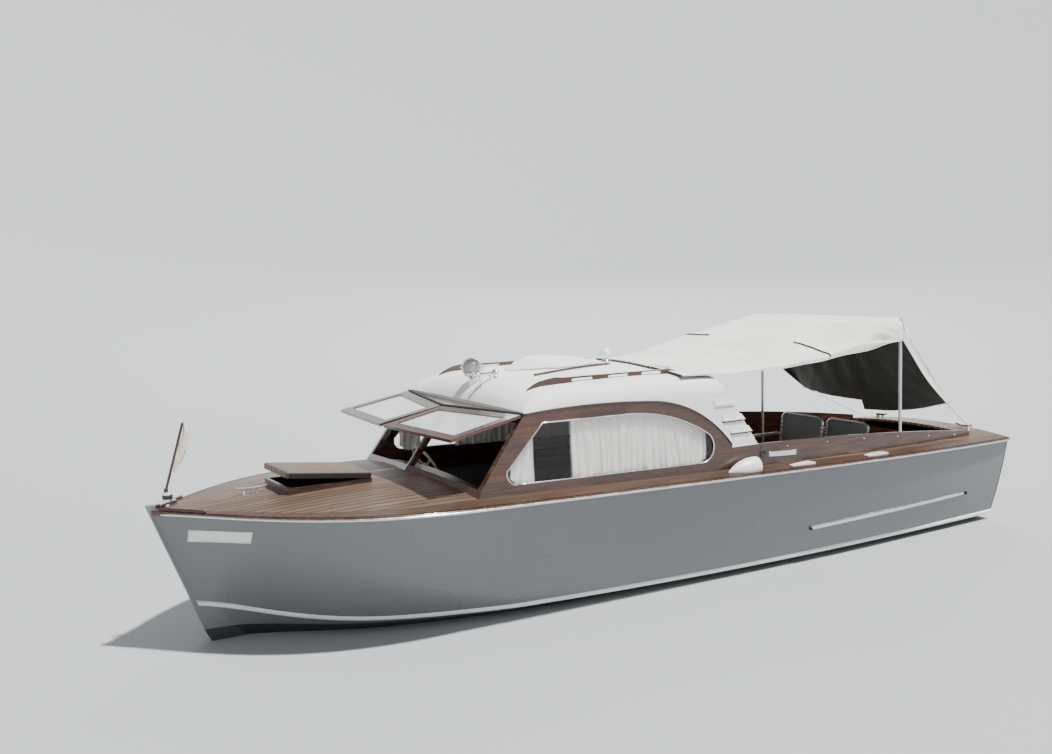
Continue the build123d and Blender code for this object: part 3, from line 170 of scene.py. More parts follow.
def buildWeave():
    tree, given, result = startGroup(
        "clothWeave",
        [placeInput, ("Threads", "value", 900.0), ("Cloth", "color", (0.8, 0.8, 0.75, 1)),
         ("Stain", "color", (0.5, 0.46, 0.38, 1)), ("Amount", "value", 0.3)], surfaceOutputs)
    weave = None
    for axis in ("X", "Y", "Z"):
        wave = addNode(tree, "ShaderNodeTexWave", bands_direction=axis)
        fill(tree, wave, Vector=given["Place"], Scale=given["Threads"], Distortion=0.4)
        weave = wave.outputs["Fac"] if weave is None else mathNode(tree, "ADD", weave, wave.outputs["Fac"])
    clouds = noiseAt(tree, given["Place"], 2.2, 6.0, 0.62)
    share = mathNode(tree, "MULTIPLY", spread(tree, clouds, 0.42, 0.75), given["Amount"])
    fill(tree, result, Color=blendColors(tree, share, given["Cloth"], given["Stain"]),
         Gloss=spread(tree, clouds, 0.3, 0.7, 0.82, 0.95), Height=weave)
    return tree


def buildSheerBand():
    tree, given, result = startGroup("sheerBand", [placeInput, ("Width", "value", 0.1)],
                                     [("Edge", "value"), ("Line", "value")])
    parts = splitPlace(tree, given["Place"])
    curve = addNode(tree, "ShaderNodeFloatCurve")
    line = curve.mapping.curves[0]
    line.points[0].location, line.points[1].location = (0, sheerHalf[0][1] / 2), (1, sheerHalf[-1][1] / 2)
    for x, half in sheerHalf[1:-1]:
        line.points.new((x + halfLength) / (2 * halfLength), half / 2)
    curve.mapping.update()
    fill(tree, curve, Value=spread(tree, parts[0], -halfLength, halfLength))
    half = mathNode(tree, "MULTIPLY", curve.outputs["Value"], 2.0)
    inset = mathNode(tree, "SUBTRACT", half, mathNode(tree, "ABSOLUTE", parts[1]))
    over = mathNode(tree, "SUBTRACT", given["Width"], inset)
    fill(tree, result, Edge=spread(tree, over, -0.0005, 0.0005),
         Line=spread(tree, mathNode(tree, "ABSOLUTE", over), 0.002, 0.003, 1.0, 0.0))
    return tree


groups = {"grain": buildGrain(), "planks": buildPlanks(), "paint": buildPaint(), "weave": buildWeave(),
          "sheerBand": buildSheerBand()}


def startMaterial(name):
    material = bpy.data.materials.new(name)
    material.use_nodes = True
    tree = material.node_tree
    place = addNode(tree, "ShaderNodeTexCoord").outputs["Object"]
    return material, tree, tree.nodes["Principled BSDF"], place


def placeGroup(tree, name, **values):
    return fill(tree, addNode(tree, "ShaderNodeGroup", node_tree=groups[name]), **values).outputs


def addBump(tree, shader, height, distance, strength):
    bump = fill(tree, addNode(tree, "ShaderNodeBump"), Distance=distance, Strength=strength, Height=height)
    fill(tree, shader, Normal=bump.outputs[0])


def varnishedWood(name, stretch, tone, coat=0.45):
    material, tree, shader, place = startMaterial(name)
    grain = placeGroup(tree, "grain", Place=place, Stretch=stretch, Light=tone["light"], Dark=tone["dark"])
    fill(tree, shader, Base_Color=grain["Color"], Roughness=grain["Gloss"], Coat_Weight=coat,
         Coat_Roughness=0.06)
    addBump(tree, shader, grain["Height"], 0.0004, 0.5)
    return material


def plankedDeck(name, tone):
    material, tree, shader, place = startMaterial(name)
    parts = splitPlace(tree, place)
    planks = placeGroup(tree, "planks", Across=parts[1], Width=tone["plank"], Gap=tone["seam"])
    edge = placeGroup(tree, "sheerBand", Place=place, Width=tone["coveringBoard"])
    grain = placeGroup(tree, "grain", Place=place, Stretch=(3, 60, 60), Light=tone["light"],
                       Dark=tone["mid"])
    board = placeGroup(tree, "grain", Place=place, Stretch=(3, 45, 45), Light=tone["mid"],
                       Dark=tone["dark"])
    boardShare = mathNode(tree, "MULTIPLY", planks["Board"], 0.85)
    varied = blendColors(tree, boardShare, grain["Color"], tone["mid"])
    seamed = blendColors(tree, planks["Seam"], varied, tone["caulk"])
    covered = blendColors(tree, edge["Edge"], seamed, board["Color"])
    lined = blendColors(tree, edge["Line"], covered, tone["caulk"])
    fill(tree, shader, Base_Color=lined, Roughness=spread(tree, grain["Gloss"], 0.14, 0.26, 0.36, 0.50),
         Specular_IOR_Level=0.32, Coat_Weight=0.08, Coat_Roughness=0.15)
    inland = mathNode(tree, "SUBTRACT", 1.0, edge["Edge"])
    hollow = mathNode(tree, "MAXIMUM", mathNode(tree, "MULTIPLY", planks["Seam"], inland), edge["Line"])
    addBump(tree, shader, mathNode(tree, "SUBTRACT", 1.0, hollow), 0.0015, 0.8)
    return material


def paintedSurface(name, paint, stain, amount, gloss, bootLine=None):
    material, tree, shader, place = startMaterial(name)
    film = placeGroup(tree, "paint", Place=place, Paint=paint, Stain=stain, Amount=amount,
                      Low_Gloss=gloss[0], High_Gloss=gloss[1])
    color = film["Color"]
    if bootLine:
        parts = splitPlace(tree, place)
        level = spread(tree, parts[0], *bootLine["span"], *bootLine["levels"])
        below = spread(tree, mathNode(tree, "SUBTRACT", parts[2], level), -0.0008, 0.0008, 1.0, 0.0)
        color = blendColors(tree, below, color, bootLine["color"])
    fill(tree, shader, Base_Color=color, Roughness=film["Gloss"])
    addBump(tree, shader, film["Height"], 0.0003, 0.25)
    return material


def clothMaterial(name, cloth, stain, amount, threads=900.0, sheen=0.15):
    material, tree, shader, place = startMaterial(name)
    weave = placeGroup(tree, "weave", Place=place, Threads=threads, Cloth=cloth, Stain=stain, Amount=amount)
    fill(tree, shader, Base_Color=weave["Color"], Roughness=weave["Gloss"], Sheen_Weight=sheen)
    addBump(tree, shader, weave["Height"], 0.0005, 0.4)
    return material


def metalMaterial(name, color, low, high):
    material, tree, shader, place = startMaterial(name)
    smear = spread(tree, noiseAt(tree, place, 14.0, 4.0), 0.3, 0.7, low, high)
    fill(tree, shader, Base_Color=color, Metallic=1.0, Roughness=smear)
    addBump(tree, shader, noiseAt(tree, place, 60.0, 2.0), 0.0002, 0.2)
    return material


def glassMaterial(name, color, roughness=0.02, transmission=1.0, alpha=1.0):
    material, tree, shader, place = startMaterial(name)
    smear = spread(tree, noiseAt(tree, place, 3.0, 4.0), 0.35, 0.75, roughness, roughness + 0.03)
    fill(tree, shader, Base_Color=color, Transmission_Weight=transmission, Alpha=alpha, IOR=1.45,
         Roughness=smear)
    return material


mahogany = {"light": (0.090, 0.036, 0.019, 1), "dark": (0.024, 0.010, 0.006, 1)}
timber = {"light": (0.42, 0.26, 0.14, 1), "dark": (0.26, 0.15, 0.08, 1)}
deckTone = {"plank": 0.066, "seam": 0.0125, "coveringBoard": 0.105, "light": (0.215, 0.140, 0.090, 1),
            "mid": (0.088, 0.052, 0.033, 1), "dark": (0.040, 0.019, 0.012, 1),
            "caulk": (0.014, 0.011, 0.010, 1)}
# The topside grey is the light hull paint darkened all over as painted shade; the bottom finish carries it
# above the boot line
paints = {"topside": (0.150, 0.160, 0.164, 1), "white": (0.80, 0.80, 0.78, 1),
          "bottom": (0.025, 0.026, 0.03, 1), "grime": (0.24, 0.23, 0.20, 1), "roof": (0.86, 0.86, 0.84, 1)}
bootLine = {"span": (1.7, 3.45), "levels": (0.042, 0.09), "color": paints["bottom"]}
finishes = {
    "woodAlong": varnishedWood("mahoganyAlong", (2.5, 34, 34), mahogany),
    "woodAcross": varnishedWood("mahoganyAcross", (34, 2.5, 34), mahogany),
    "woodUpright": varnishedWood("mahoganyUpright", (34, 34, 2.5), mahogany),
    "woodPlain": varnishedWood("bareTimber", (3, 28, 28), timber, 0.1),
    "deck": plankedDeck("laidDeck", deckTone),
    "topside": paintedSurface("topsideEnamelShaded", paints["topside"], paints["grime"], 0.08, (0.22, 0.38)),
    "bottom": paintedSurface("bottomPaint", paints["topside"], paints["grime"], 0.12, (0.3, 0.5), bootLine),
    "white": paintedSurface("whiteEnamel", paints["white"], paints["grime"], 0.25, (0.25, 0.45)),
    "canvasPaint": clothMaterial("paintedCanvas", paints["roof"], (0.55, 0.53, 0.48, 1), 0.22, 420.0, 0.0),
    "awning": clothMaterial("awningCloth", (0.87, 0.86, 0.81, 1), (0.56, 0.52, 0.43, 1), 0.42),
    # Inner face of the awning cloth: dark canvas made near black as painted shade
    "awningInside": clothMaterial("awningInside", (0.045, 0.05, 0.045, 1), (0.02, 0.02, 0.018, 1), 0.5),
    "pennant": clothMaterial("pennantCloth", (0.78, 0.73, 0.62, 1), (0.45, 0.38, 0.28, 1), 0.5, 1400.0),
    "curtain": clothMaterial("curtainCloth", (0.90, 0.89, 0.85, 1), (0.68, 0.66, 0.60, 1), 0.3, 1200.0),
    "cushion": clothMaterial("cushionCloth", (0.16, 0.20, 0.20, 1), (0.09, 0.11, 0.11, 1), 0.4, 700.0),
    "chairCloth": clothMaterial("chairCloth", (0.30, 0.33, 0.31, 1), (0.14, 0.15, 0.14, 1), 0.4, 500.0),
    "rope": clothMaterial("guyRope", (0.74, 0.70, 0.60, 1), (0.4, 0.34, 0.25, 1), 0.5, 250.0),
    "chrome": metalMaterial("polishedChrome", (0.80, 0.80, 0.80, 1), 0.06, 0.18),
    "steelStrip": metalMaterial("railStrip", (0.72, 0.72, 0.71, 1), 0.18, 0.34),
    "aluminium": metalMaterial("poleAluminium", (0.68, 0.68, 0.67, 1), 0.28, 0.42),
    "bronze": metalMaterial("dullBronze", (0.42, 0.28, 0.13, 1), 0.35, 0.55),
    "engine": paintedSurface("enginePaint", (0.03, 0.06, 0.10, 1), (0.02, 0.02, 0.02, 1), 0.5, (0.4, 0.6)),
    "wheel": paintedSurface("wheelPlastic", (0.62, 0.58, 0.46, 1), (0.4, 0.35, 0.25, 1), 0.3, (0.18, 0.3)),
    "rubber": paintedSurface("blackRubber", (0.02, 0.02, 0.02, 1), (0.05, 0.05, 0.05, 1), 0.4, (0.45, 0.6)),
    "glass": glassMaterial("windowGlass", (0.98, 0.99, 0.985, 1), alpha=0.35),
    # Sash glass is half milky near-white: a painted reflection of bright sky
    "sashGlass": glassMaterial("sashGlass", (0.93, 0.95, 0.95, 1), transmission=0.5),
    "lens": glassMaterial("lampLens", (0.97, 0.98, 0.97, 1), 0.06, alpha=0.3),
    "reflector": metalMaterial("silveredBowl", (0.95, 0.95, 0.94, 1), 0.30, 0.42),
    "opal": paintedSurface("opalGlobe", (0.90, 0.90, 0.87, 1), (0.78, 0.77, 0.72, 1), 0.3, (0.08, 0.16)),
    "dial": paintedSurface("dialFace", (0.70, 0.69, 0.64, 1), (0.5, 0.48, 0.42, 1), 0.3, (0.3, 0.4)),
}
print("finishes ready")

# Nodes that carry each finish on their modelled shape
finishedNodes = {
    "topside": "topside_port topside_starboard", "bottom": "bottom_port bottom_starboard stem_and_keel",
    "woodAcross": "transom windshield_frame sash_port sash_starboard helm_console",
    "woodAlong": "rub_rails coaming_port coaming_starboard hatch_coaming "
                 "cabin_side_port cabin_side_starboard grab_rails cockpit_lining",
    "white": "chine_rails louvre_quarter_port louvre_quarter_starboard vents step_pads",
    "steelStrip": "guard_mouldings",
    "deck": "foredeck aft_deck side_deck_port side_deck_starboard hatch_lid", "canvasPaint": "cabin_roof",
    "woodPlain": "sole berths engine_bearers", "woodUpright": "aft_bulkhead cabin_door bow_staff",
    "wheel": "steering_wheel", "cushion": "settees", "engine": "engine",
    "bronze": "propeller propeller_shaft shaft_strut rudder", "aluminium": "awning_frame chair_frames",
    "rope": "guy_lines", "chrome": "cleats searchlight searchlight_foot horn bow_light",
    "awning": "spare_canvas awning_canvas pennant", "opal": "mast_light",
    "sashGlass": "sash_glass_port sash_glass_starboard", "glass": "side_window_glass",
    "chairCloth": "chair_cloths", "curtain": "curtains",
}
for finish, names in finishedNodes.items():
    for name in names.split():
        nodes[name].data.materials.clear()
        nodes[name].data.materials.append(finishes[finish])
print("finishes laid on the solids")


# Slot listed for each finish of a dressed piece, the rest chrome; makePiece looks it up but gives it to no
# piece
slots = {"awning": "awning_cloth", "awningInside": "awning_cloth", "pennant": "awning_cloth",
         "curtain": "awning_cloth", "chairCloth": "cushion_fabric", "cushion": "cushion_fabric",
         "woodAlong": "varnished_mahogany", "woodAcross": "varnished_mahogany",
         "white": "white_trim_paint", "dial": "white_trim_paint", "lens": "glass"}
bothSides = ((1, "Port"), (-1, "Starboard"))


# Mesh helpers
def addObject(name, data):
    piece = bpy.data.objects.new(name, data)
    bpy.context.scene.collection.objects.link(piece)
    return piece


def makePiece(name, points, faces, finish, body="hull", slot=None):
    keys = finish if isinstance(finish, tuple) else (finish,)
    slot = slot or slots.get(keys[0], "chrome")
    mesh = bpy.data.meshes.new(name)
    mesh.from_pydata([tuple(p) for p in points], [], faces)
    mesh.validate()
    for key in keys:
        mesh.materials.append(finishes[key])
    mesh.shade_smooth()
    piece = addObject(name, mesh)
    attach(piece, body)
    return piece


def gridFaces(rows, columns, closed=False):
    faces = []
    for i in range(rows - 1):
        for j in range(columns if closed else columns - 1):
            k = (j + 1) % columns
            here, ahead = i * columns, (i + 1) * columns
            faces.append((here + j, here + k, ahead + k, ahead + j))
    return faces


def makeSheet(name, surface, rows, columns, thickness, finish):
    points = [surface(i / (rows - 1), j / (columns - 1)) for i in range(rows) for j in range(columns)]
    piece = makePiece(name, points, gridFaces(rows, columns), finish)
    solid = piece.modifiers.new("cloth", "SOLIDIFY")
    solid.thickness = thickness
    solid.offset = 0
    if len(piece.data.materials) > 1:
        solid.material_offset = 1
        solid.material_offset_rim = 0
    return piece


def tubeData(path, radius, sides, squash):
    points = []
    side = None
    for i, here in enumerate(path):
        ahead, behind = path[min(i + 1, len(path) - 1)], path[max(i - 1, 0)]
        run = (ahead - behind).normalized()
        if side is None:
            side = run.cross(Vector((0, 0, 1)))
            side = side if side.length > 0.1 else run.cross(Vector((1, 0, 0)))
        side = (side - run * side.dot(run)).normalized()
        up = side.cross(run)
        for k in range(sides):
            turn = 2 * math.pi * k / sides
            points.append(here + side * (math.cos(turn) * radius) + up * (math.sin(turn) * radius * squash))
    faces = gridFaces(len(path), sides, closed=True)
    faces.append(tuple(reversed(range(sides))))
    faces.append(tuple(range(len(points) - sides, len(points))))
    return points, faces


def joinPieces(name, shapes, finish, body, slot=None):
    points, faces = [], []
    for more, loops in shapes:
        faces += [tuple(len(points) + i for i in loop) for loop in loops]
        points += more
    return makePiece(name, points, faces, finish, body, slot)


def makeTubes(name, paths, radius, finish, sides=10, squash=1.0, body="hull", slot=None):
    shapes = [tubeData([Vector(p) for p in path], radius, sides, squash) for path in paths]
    return joinPieces(name, shapes, finish, body, slot)


def domeData(centre, normal, radius, height, sides=10, rings=3):
    normal = normal.normalized()
    side = normal.orthogonal().normalized()
    up = normal.cross(side)
    points, faces = [], []
    for ring in range(rings):
        lean = math.pi / 2 * ring / rings
        for k in range(sides):
            turn = 2 * math.pi * k / sides
            away = side * math.cos(turn) + up * math.sin(turn)
            points.append(centre + away * (radius * math.cos(lean)) + normal * (height * math.sin(lean)))
    points.append(centre + normal * height)
    faces += gridFaces(rings, sides, closed=True)
    tip, last = len(points) - 1, (rings - 1) * sides
    faces += [(last + k, last + (k + 1) % sides, tip) for k in range(sides)]
    return points, faces


def makeDomes(name, spots, radius, height, finish="chrome", body="hull"):
    shapes = [domeData(Vector(centre), Vector(normal), radius, height) for centre, normal in spots]
    return joinPieces(name, shapes, finish, body)


# Turned pieces: points along an axis and out from it
def turnedPiece(name, origin, axis, profile, finish, sides=40, body="hull"):
    axis = Vector(axis).normalized()
    up = Vector((0, 0, 1)) if abs(axis.z) < 0.9 else Vector((1, 0, 0))
    out = (up - axis * up.dot(axis)).normalized()
    across = axis.cross(out)
    points = []
    for along, radius in profile:
        for k in range(sides):
            turn = 2 * math.pi * k / sides
            away = out * math.cos(turn) + across * math.sin(turn)
            points.append(Vector(origin) + axis * along + away * max(radius, 0.0002))
    faces = gridFaces(len(profile), sides, closed=True)
    faces += [tuple(reversed(range(sides))), tuple(range(len(points) - sides, len(points)))]
    return makePiece(name, points, faces, finish, body)


def arcThrough(start, middle, end, count):
    (ax, ay), (bx, by), (cx, cy) = start, middle, end
    d = 2 * (ax * (by - cy) + bx * (cy - ay) + cx * (ay - by))
    squares = [p[0] ** 2 + p[1] ** 2 for p in (start, middle, end)]
    mx = (squares[0] * (by - cy) + squares[1] * (cy - ay) + squares[2] * (ay - by)) / d
    my = (squares[0] * (cx - bx) + squares[1] * (ax - cx) + squares[2] * (bx - ax)) / d
    radius = math.hypot(ax - mx, ay - my)
    turns = [math.atan2(p[1] - my, p[0] - mx) for p in (start, middle, end)]
    sweep = (turns[2] - turns[0]) % (2 * math.pi)
    if (turns[1] - turns[0]) % (2 * math.pi) > sweep:
        sweep -= 2 * math.pi
    return [(mx + radius * math.cos(turns[0] + sweep * i / (count - 1)),
             my + radius * math.sin(turns[0] + sweep * i / (count - 1))) for i in range(count)]


def smoothTable(table, x):
    table = sorted(table)
    if x <= table[0][0]:
        return table[0][1]
    for i in range(len(table) - 1):
        (x0, v0), (x1, v1) = table[i], table[i + 1]
        if x <= x1:
            before = table[max(i - 1, 0)]
            after = table[min(i + 2, len(table) - 1)]
            s0 = (v1 - before[1]) / (x1 - before[0])
            s1 = (after[1] - v0) / (after[0] - x0)
            t, w = (x - x0) / (x1 - x0), x1 - x0
            return ((2 * t**3 - 3 * t**2 + 1) * v0 + (t**3 - 2 * t**2 + t) * w * s0
                    + (3 * t**2 - 2 * t**3) * v1 + (t**3 - t**2) * w * s1)
    return table[-1][1]


def meshTree(*names):
    points, faces = [], []
    for name in names:
        mesh = nodes[name].data
        faces += [tuple(len(points) + v for v in p.vertices) for p in mesh.polygons]
        points += [v.co.copy() for v in mesh.vertices]
    return BVHTree.FromPolygons(points, faces)


def touch(tree, start, direction):
    return tree.ray_cast(Vector(start), Vector(direction).normalized())[:2]


# The skin met from one side at x and z, with its normal turned outward
def touchSide(tree, x, z, side, reach=1.5):
    spot, normal = touch(tree, (x, side * reach, z), (0, -side, 0))
    if spot and normal.y * side < 0:
        normal = -normal
    return spot, normal


# Cabin side: the foot and inward lean of its outer face
cabinSide = {"footY": 0.976, "footZ": 0.970, "lean": math.tan(math.radians(2.5))}


def sideWidth(z):
    return cabinSide["footY"] - (z - cabinSide["footZ"]) * cabinSide["lean"]


def sidePoint(x, z, side, out=0.0):
    return Vector((x, side * (sideWidth(z) + out), z))


roofTree = meshTree("cabin_roof")


def roofHeight(x, y, missing=1.64):
    spot, _ = touch(roofTree, (x, y, 2.5), (0, 0, -1))
    return spot.z if spot else missing


# Awning: top with side valances, an aft flap in two overlapping cloths, and a gusset at each side of it
awning = {
    "foreX": 0.0, "aftPort": -2.40, "aftStarboard": -2.236, "half": 0.9, "roundIn": 0.05,
    "thickness": 0.003, "flat": 0.80, "turnRate": 2.2, "drop": 1.25, "roofAft": -0.33, "hemRadius": 0.0032,
    "crown": [(0, 1.716), (0.12, 1.704), (0.25, 1.702), (0.42, 1.738), (0.6, 1.806), (0.8, 1.884),
              (0.92, 1.936), (1, 1.968)],
    "eavePort": [(0, 1.668), (0.12, 1.656), (0.25, 1.650), (0.44, 1.668), (0.59, 1.712), (0.71, 1.768),
                 (0.86, 1.868), (1, 1.968)],
    "hemPort": [(0, 1.655), (0.16, 1.640), (0.33, 1.634), (0.43, 1.638), (0.51, 1.652), (0.65, 1.682),
                (0.77, 1.706), (0.89, 1.742), (1, 1.780)],
    "eaveStarboard": [(0, 1.664), (0.14, 1.643), (0.27, 1.640), (0.52, 1.746), (0.72, 1.832), (1, 1.950)],
    "hemStarboard": [(0, 1.650), (0.27, 1.622), (0.52, 1.690), (0.72, 1.715), (1, 1.745)],
    "flapPort": {"corner": (-2.985, 1.185), "middle": (-2.80, 1.060), "from": 0.07, "to": 1.0},
    "flapStarboard": {"corner": (-2.955, 1.165), "middle": (-2.80, 1.146), "from": -1.0, "to": 0.12},
    "gusset": [(1.785, -2.385), (1.706, -2.446), (1.406, -2.696), (1.175, -2.950)],
}


def aftEdge(t):
    share = (t + 1) / 2
    return awning["aftStarboard"] + (awning["aftPort"] - awning["aftStarboard"]) * share


def awningTop(down, over):
    t = over * 2 - 1
    side, reach = math.copysign(1, t), abs(t)
    x = awning["foreX"] + (aftEdge(t) - awning["foreX"]) * down
    label = "Port" if side > 0 else "Starboard"
    crown, eave, hem = (smoothTable(awning[key], down) for key in ("crown", "eave" + label, "hem" + label))
    flat, inner = awning["flat"], awning["half"] - awning["roundIn"]
    freed = min(1, (1 - down) * 12)  # creases die out at the aft edge
    if reach <= flat:
        share = reach / flat
        y, z = inner * share, crown + (eave - crown) * share**2.2
    else:
        share = (reach - flat) / (1 - flat)
        turn = min(share * awning["turnRate"], 1) * math.pi / 2
        y = inner + awning["roundIn"] * math.sin(turn)
        z = eave + (hem - eave) * share ** awning["drop"]
    corner = Vector(((1 - down) * 2.4, (1 - reach) * awning["half"]))
    away, angle = corner.length, math.atan2(corner.y, corner.x + 0.001)
    pull = math.exp(-away / 0.5) * min(away / 0.12, 1) * (1.0 if side > 0 else 0.5)
    wander = 1.2 * noise.noise(Vector((x * 3, y * 2, 5.5)))
    crease = 0.024 * pull * math.sin(angle * 17 + side * 0.7 + wander)
    crease += 0.009 * noise.noise(Vector((x * 2.4, side * y * 2.1, 3.7 * side))) * min(down * 4, 1)
    crease += 0.006 * noise.noise(Vector((x * 3.1, side * y * 14, 2.2))) * min(down * 4, 1) * reach
    slack = math.sin(math.pi * min(down * 1.25, 1)) * (1 - reach**4)
    crease += 0.010 * slack * noise.noise(Vector((x * 5.0, side * y * 1.3, 9.1)))
    crease *= freed
    if reach > flat:
        y += (0.010 * math.sin(x * 13 + side) * share * (0.4 + 0.6 * down) + crease * 0.6) * freed
    z += crease
    if x > awning["roofAft"]:
        z = max(z, roofHeight(x, side * y, 0) + 0.004)
    return Vector((x, side * min(y, 0.903), z))


def flapPoint(t, down, cloth):
    share = abs(t) ** 2.4
    lowX, lowZ = (cloth["middle"][i] + (cloth["corner"][i] - cloth["middle"][i]) * share for i in (0, 1))
    y, inner = t * awning["half"], awning["half"] - awning["roundIn"]
    bend = math.asin(min(max(abs(y) - inner, 0) / awning["roundIn"], 1))
    lean = bend / (math.pi / 2) / awning["turnRate"]
    level = 1.946 + 0.018 * (t + 1) / 2
    top = Vector((aftEdge(t) - 0.003, y, level - 0.19 * lean ** awning["drop"]))
    spot = top.lerp(Vector((lowX, y, lowZ)), down)
    spot.x -= 0.045 * math.sin(math.pi * down) * (1 - t * t)
    belly = math.sin(math.pi * min(down * 1.1, 1))
    fan = 0.014 * math.sin(7 * math.pi * t + 0.8) * belly * (1 - 0.5 * t * t)
    near = math.exp(-(Vector((1 - abs(t), 1 - down)).length) / 0.35)
    tug = 0.02 * near * math.sin(9 * (abs(t) - down) * math.pi)
    spot.x += fan * (1 - abs(t) ** 6) + tug * (1 - abs(t) ** 8)
    spot.z += 0.006 * noise.noise(Vector((t * 4, down * 3, 1.7)))
    return spot


def flapSurface(label):
    cloth = awning[label]

    def place(down, over):
        spot = flapPoint(cloth["from"] + (cloth["to"] - cloth["from"]) * over, down, cloth)
        if label == "flapStarboard":
            spot.x += 0.014 * over * min(down * 8, 1)
        return spot

    return place


def gussetSurface(side):
    cloth = awning["flapPort" if side > 0 else "flapStarboard"]
    shift = 0 if side > 0 else awning["aftStarboard"] - awning["aftPort"]
    high, low = awning["gusset"][0][0], awning["gusset"][-1][0]

    def place(down, over):
        outer = flapPoint(side, down, cloth)
        level = high + (low - high) * down
        inner = smoothTable(awning["gusset"], level) + shift * (1 - down)
        spot = outer.lerp(Vector((inner, side * awning["half"], level)), over)
        spot.y += side * (0.003 - 0.012 * math.sin(math.pi * over) * math.sin(math.pi * down))
        return spot

    return place


def hangCloth(name, surface, rows, columns, sides=("awning", "awningInside")):
    cloth = makeSheet(name, surface, rows, columns, awning["thickness"], sides)
    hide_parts("awning_canvas")
    return cloth


portFlap, starboardFlap = flapSurface("flapPort"), flapSurface("flapStarboard")
gussets = {"Port": gussetSurface(1), "Starboard": gussetSurface(-1)}
topCloth = hangCloth("awningTop", awningTop, 110, 101)
portCloth = hangCloth("awningFlapPort", portFlap, 46, 56)
starboardCloth = hangCloth("awningFlapStarboard", starboardFlap, 46, 60)
for label, sides in (("Port", ("awning", "awningInside")), ("Starboard", ("awningInside", "awning"))):
    gusset = hangCloth("awningGusset" + label, gussets[label], 40, 10, sides)
hems = [[awningTop(i / 60, t) for i in range(61)] for t in (0.0, 1.0)]
hems += [[portFlap(1.0, i / 40) for i in range(41)], [starboardFlap(1.0, i / 30) for i in range(31)]]
hems += [[edge(i / 30, 1.0) for i in range(31)] for edge in gussets.values()]
awningHems = makeTubes("awningHems", hems, awning["hemRadius"], "awning", 6)

# Battens over the awning: one out to each hem, and one across its fore edge
battens = {"sideRadius": 0.007, "foreRadius": 0.011, "foreX": 0.012, "foreHalf": 0.53}
battenLines = []
for side in (1, -1):
    line = []
    for i in range(11):
        down, reach = 0.625 + 0.018 * i / 10, 0.50 + 0.47 * i / 10
        spot = awningTop(down, 0.5 + side * reach / 2)
        line.append(spot + Vector((0, side * 0.004 * (i > 8), 0.008)))
    battenLines.append(line)
makeTubes("awningSideBattens", battenLines, battens["sideRadius"], "woodAlong", 8)
foreBatten = []
for i in range(-10, 11):
    x, y = battens["foreX"], i / 10 * battens["foreHalf"]
    foreBatten.append(Vector((x, y, roofHeight(x, y) + 0.012)))
makeTubes("awningForeBatten", [foreBatten], battens["foreRadius"], "woodAcross", 10, 0.7)
print("awning hung")

# Guy ropes from the flap's corners to the aft deck
guy = {"diameter": 0.008, "length": 0.692, "points": {
    "Port": [(-2.975, 0.888, 1.165), (-3.268, 0.794, 0.994), (-3.560, 0.700, 0.846)],
    "Starboard": [(-2.975, -0.888, 1.165), (-3.268, -0.794, 0.994), (-3.560, -0.700, 0.846)]}}
for label, points in guy["points"].items():
    line = bpy.data.curves.new("guyRope" + label, "CURVE")
    line.dimensions = "3D"
    line.bevel_depth, line.bevel_resolution, line.resolution_u = guy["diameter"] / 2, 3, 12
    spline = line.splines.new("NURBS")
    spline.points.add(len(points) - 1)
    for knot, spot in zip(spline.points, points):
        knot.co = (*spot, 1)
    spline.order_u, spline.use_endpoint_u = 3, True
    line.use_fill_caps = True
    line.materials.append(finishes["rope"])
    rope = addObject("guyRope" + label, line)
    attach(rope, "hull")
    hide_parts("guy_lines")
print("guy ropes tied")

# Gathered curtains behind the side windows
curtain = {
    "inset": 0.038, "clear": 0.0235, "pleat": 0.060, "depth": 0.0145, "over": 0.012, "thickness": 0.0012,
    "spans": [("Fore", 1.545, 1.352, 44), ("Aft", 1.026, -0.19, 260)],
}
windowTop = [(-0.25, 1.085), (-0.19, 1.205), (-0.05, 1.285), (0.16, 1.362), (0.38, 1.402), (0.6, 1.417),
             (1.28, 1.426), (1.586, 1.112)]
windowFoot = [(-0.25, 1.06), (-0.14, 0.978), (1.5, 1.012), (1.586, 1.112)]


def tableValue(table, x):
    for (x0, v0), (x1, v1) in zip(table, table[1:]):
        if x <= x1:
            return v0 + (v1 - v0) * max(0.0, (x - x0) / (x1 - x0))
    return table[-1][1]


def curtainSurface(foreX, aftX, side, seed):
    width = foreX - aftX
    rand = random.Random(seed)
    phases = [rand.uniform(0, 6.28) for _ in range(6)]

    def place(down, across):
        x = foreX - width * across
        high = tableValue(windowTop, x) + curtain["over"]
        low = tableValue(windowFoot, x) - curtain["over"]
        z = high - (high - low) * down
        turn = across * width / curtain["pleat"] * 2 * math.pi
        wander = 6.5 * noise.noise(Vector((across * width * 5, down * 0.8, phases[1])))
        second = turn * 0.41 + phases[3] + wander * 0.5 + down * 0.8
        fold = math.sin(turn + wander) + 0.55 * math.sin(second)
        swing = 0.45 + 1.6 * abs(noise.noise(Vector((across * width * 7, down * 1.1, phases[4]))))
        amount = curtain["depth"] * (0.55 + 0.45 * down) * swing
        wall = sideWidth(z)
        y = min(wall - curtain["inset"] + amount * fold, wall - curtain["clear"])
        return Vector((x + 0.006 * math.cos(turn + wander), side * y, z))

    return place


for side, label in bothSides:
    for count, (end, foreX, aftX, columns) in enumerate(curtain["spans"]):
        drape = curtainSurface(foreX, aftX, side, 11 + count * 5 + (side > 0))
        piece = makeSheet("curtain" + label + end, drape, 24, columns, curtain["thickness"], "curtain")
        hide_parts("curtains")
print("curtains gathered")

# Spare canvas folded on the roof, with a batten beside it
bundle = {"middle": (0.575, -0.05), "size": (0.87, 0.50), "thickness": 0.004, "batten": 0.011,
          "profile": [(0.14, 1.70), (0.18, 1.738), (0.30, 1.752), (0.47, 1.769), (0.62, 1.781),
                      (0.75, 1.785), (0.90, 1.760), (1.005, 1.70)]}


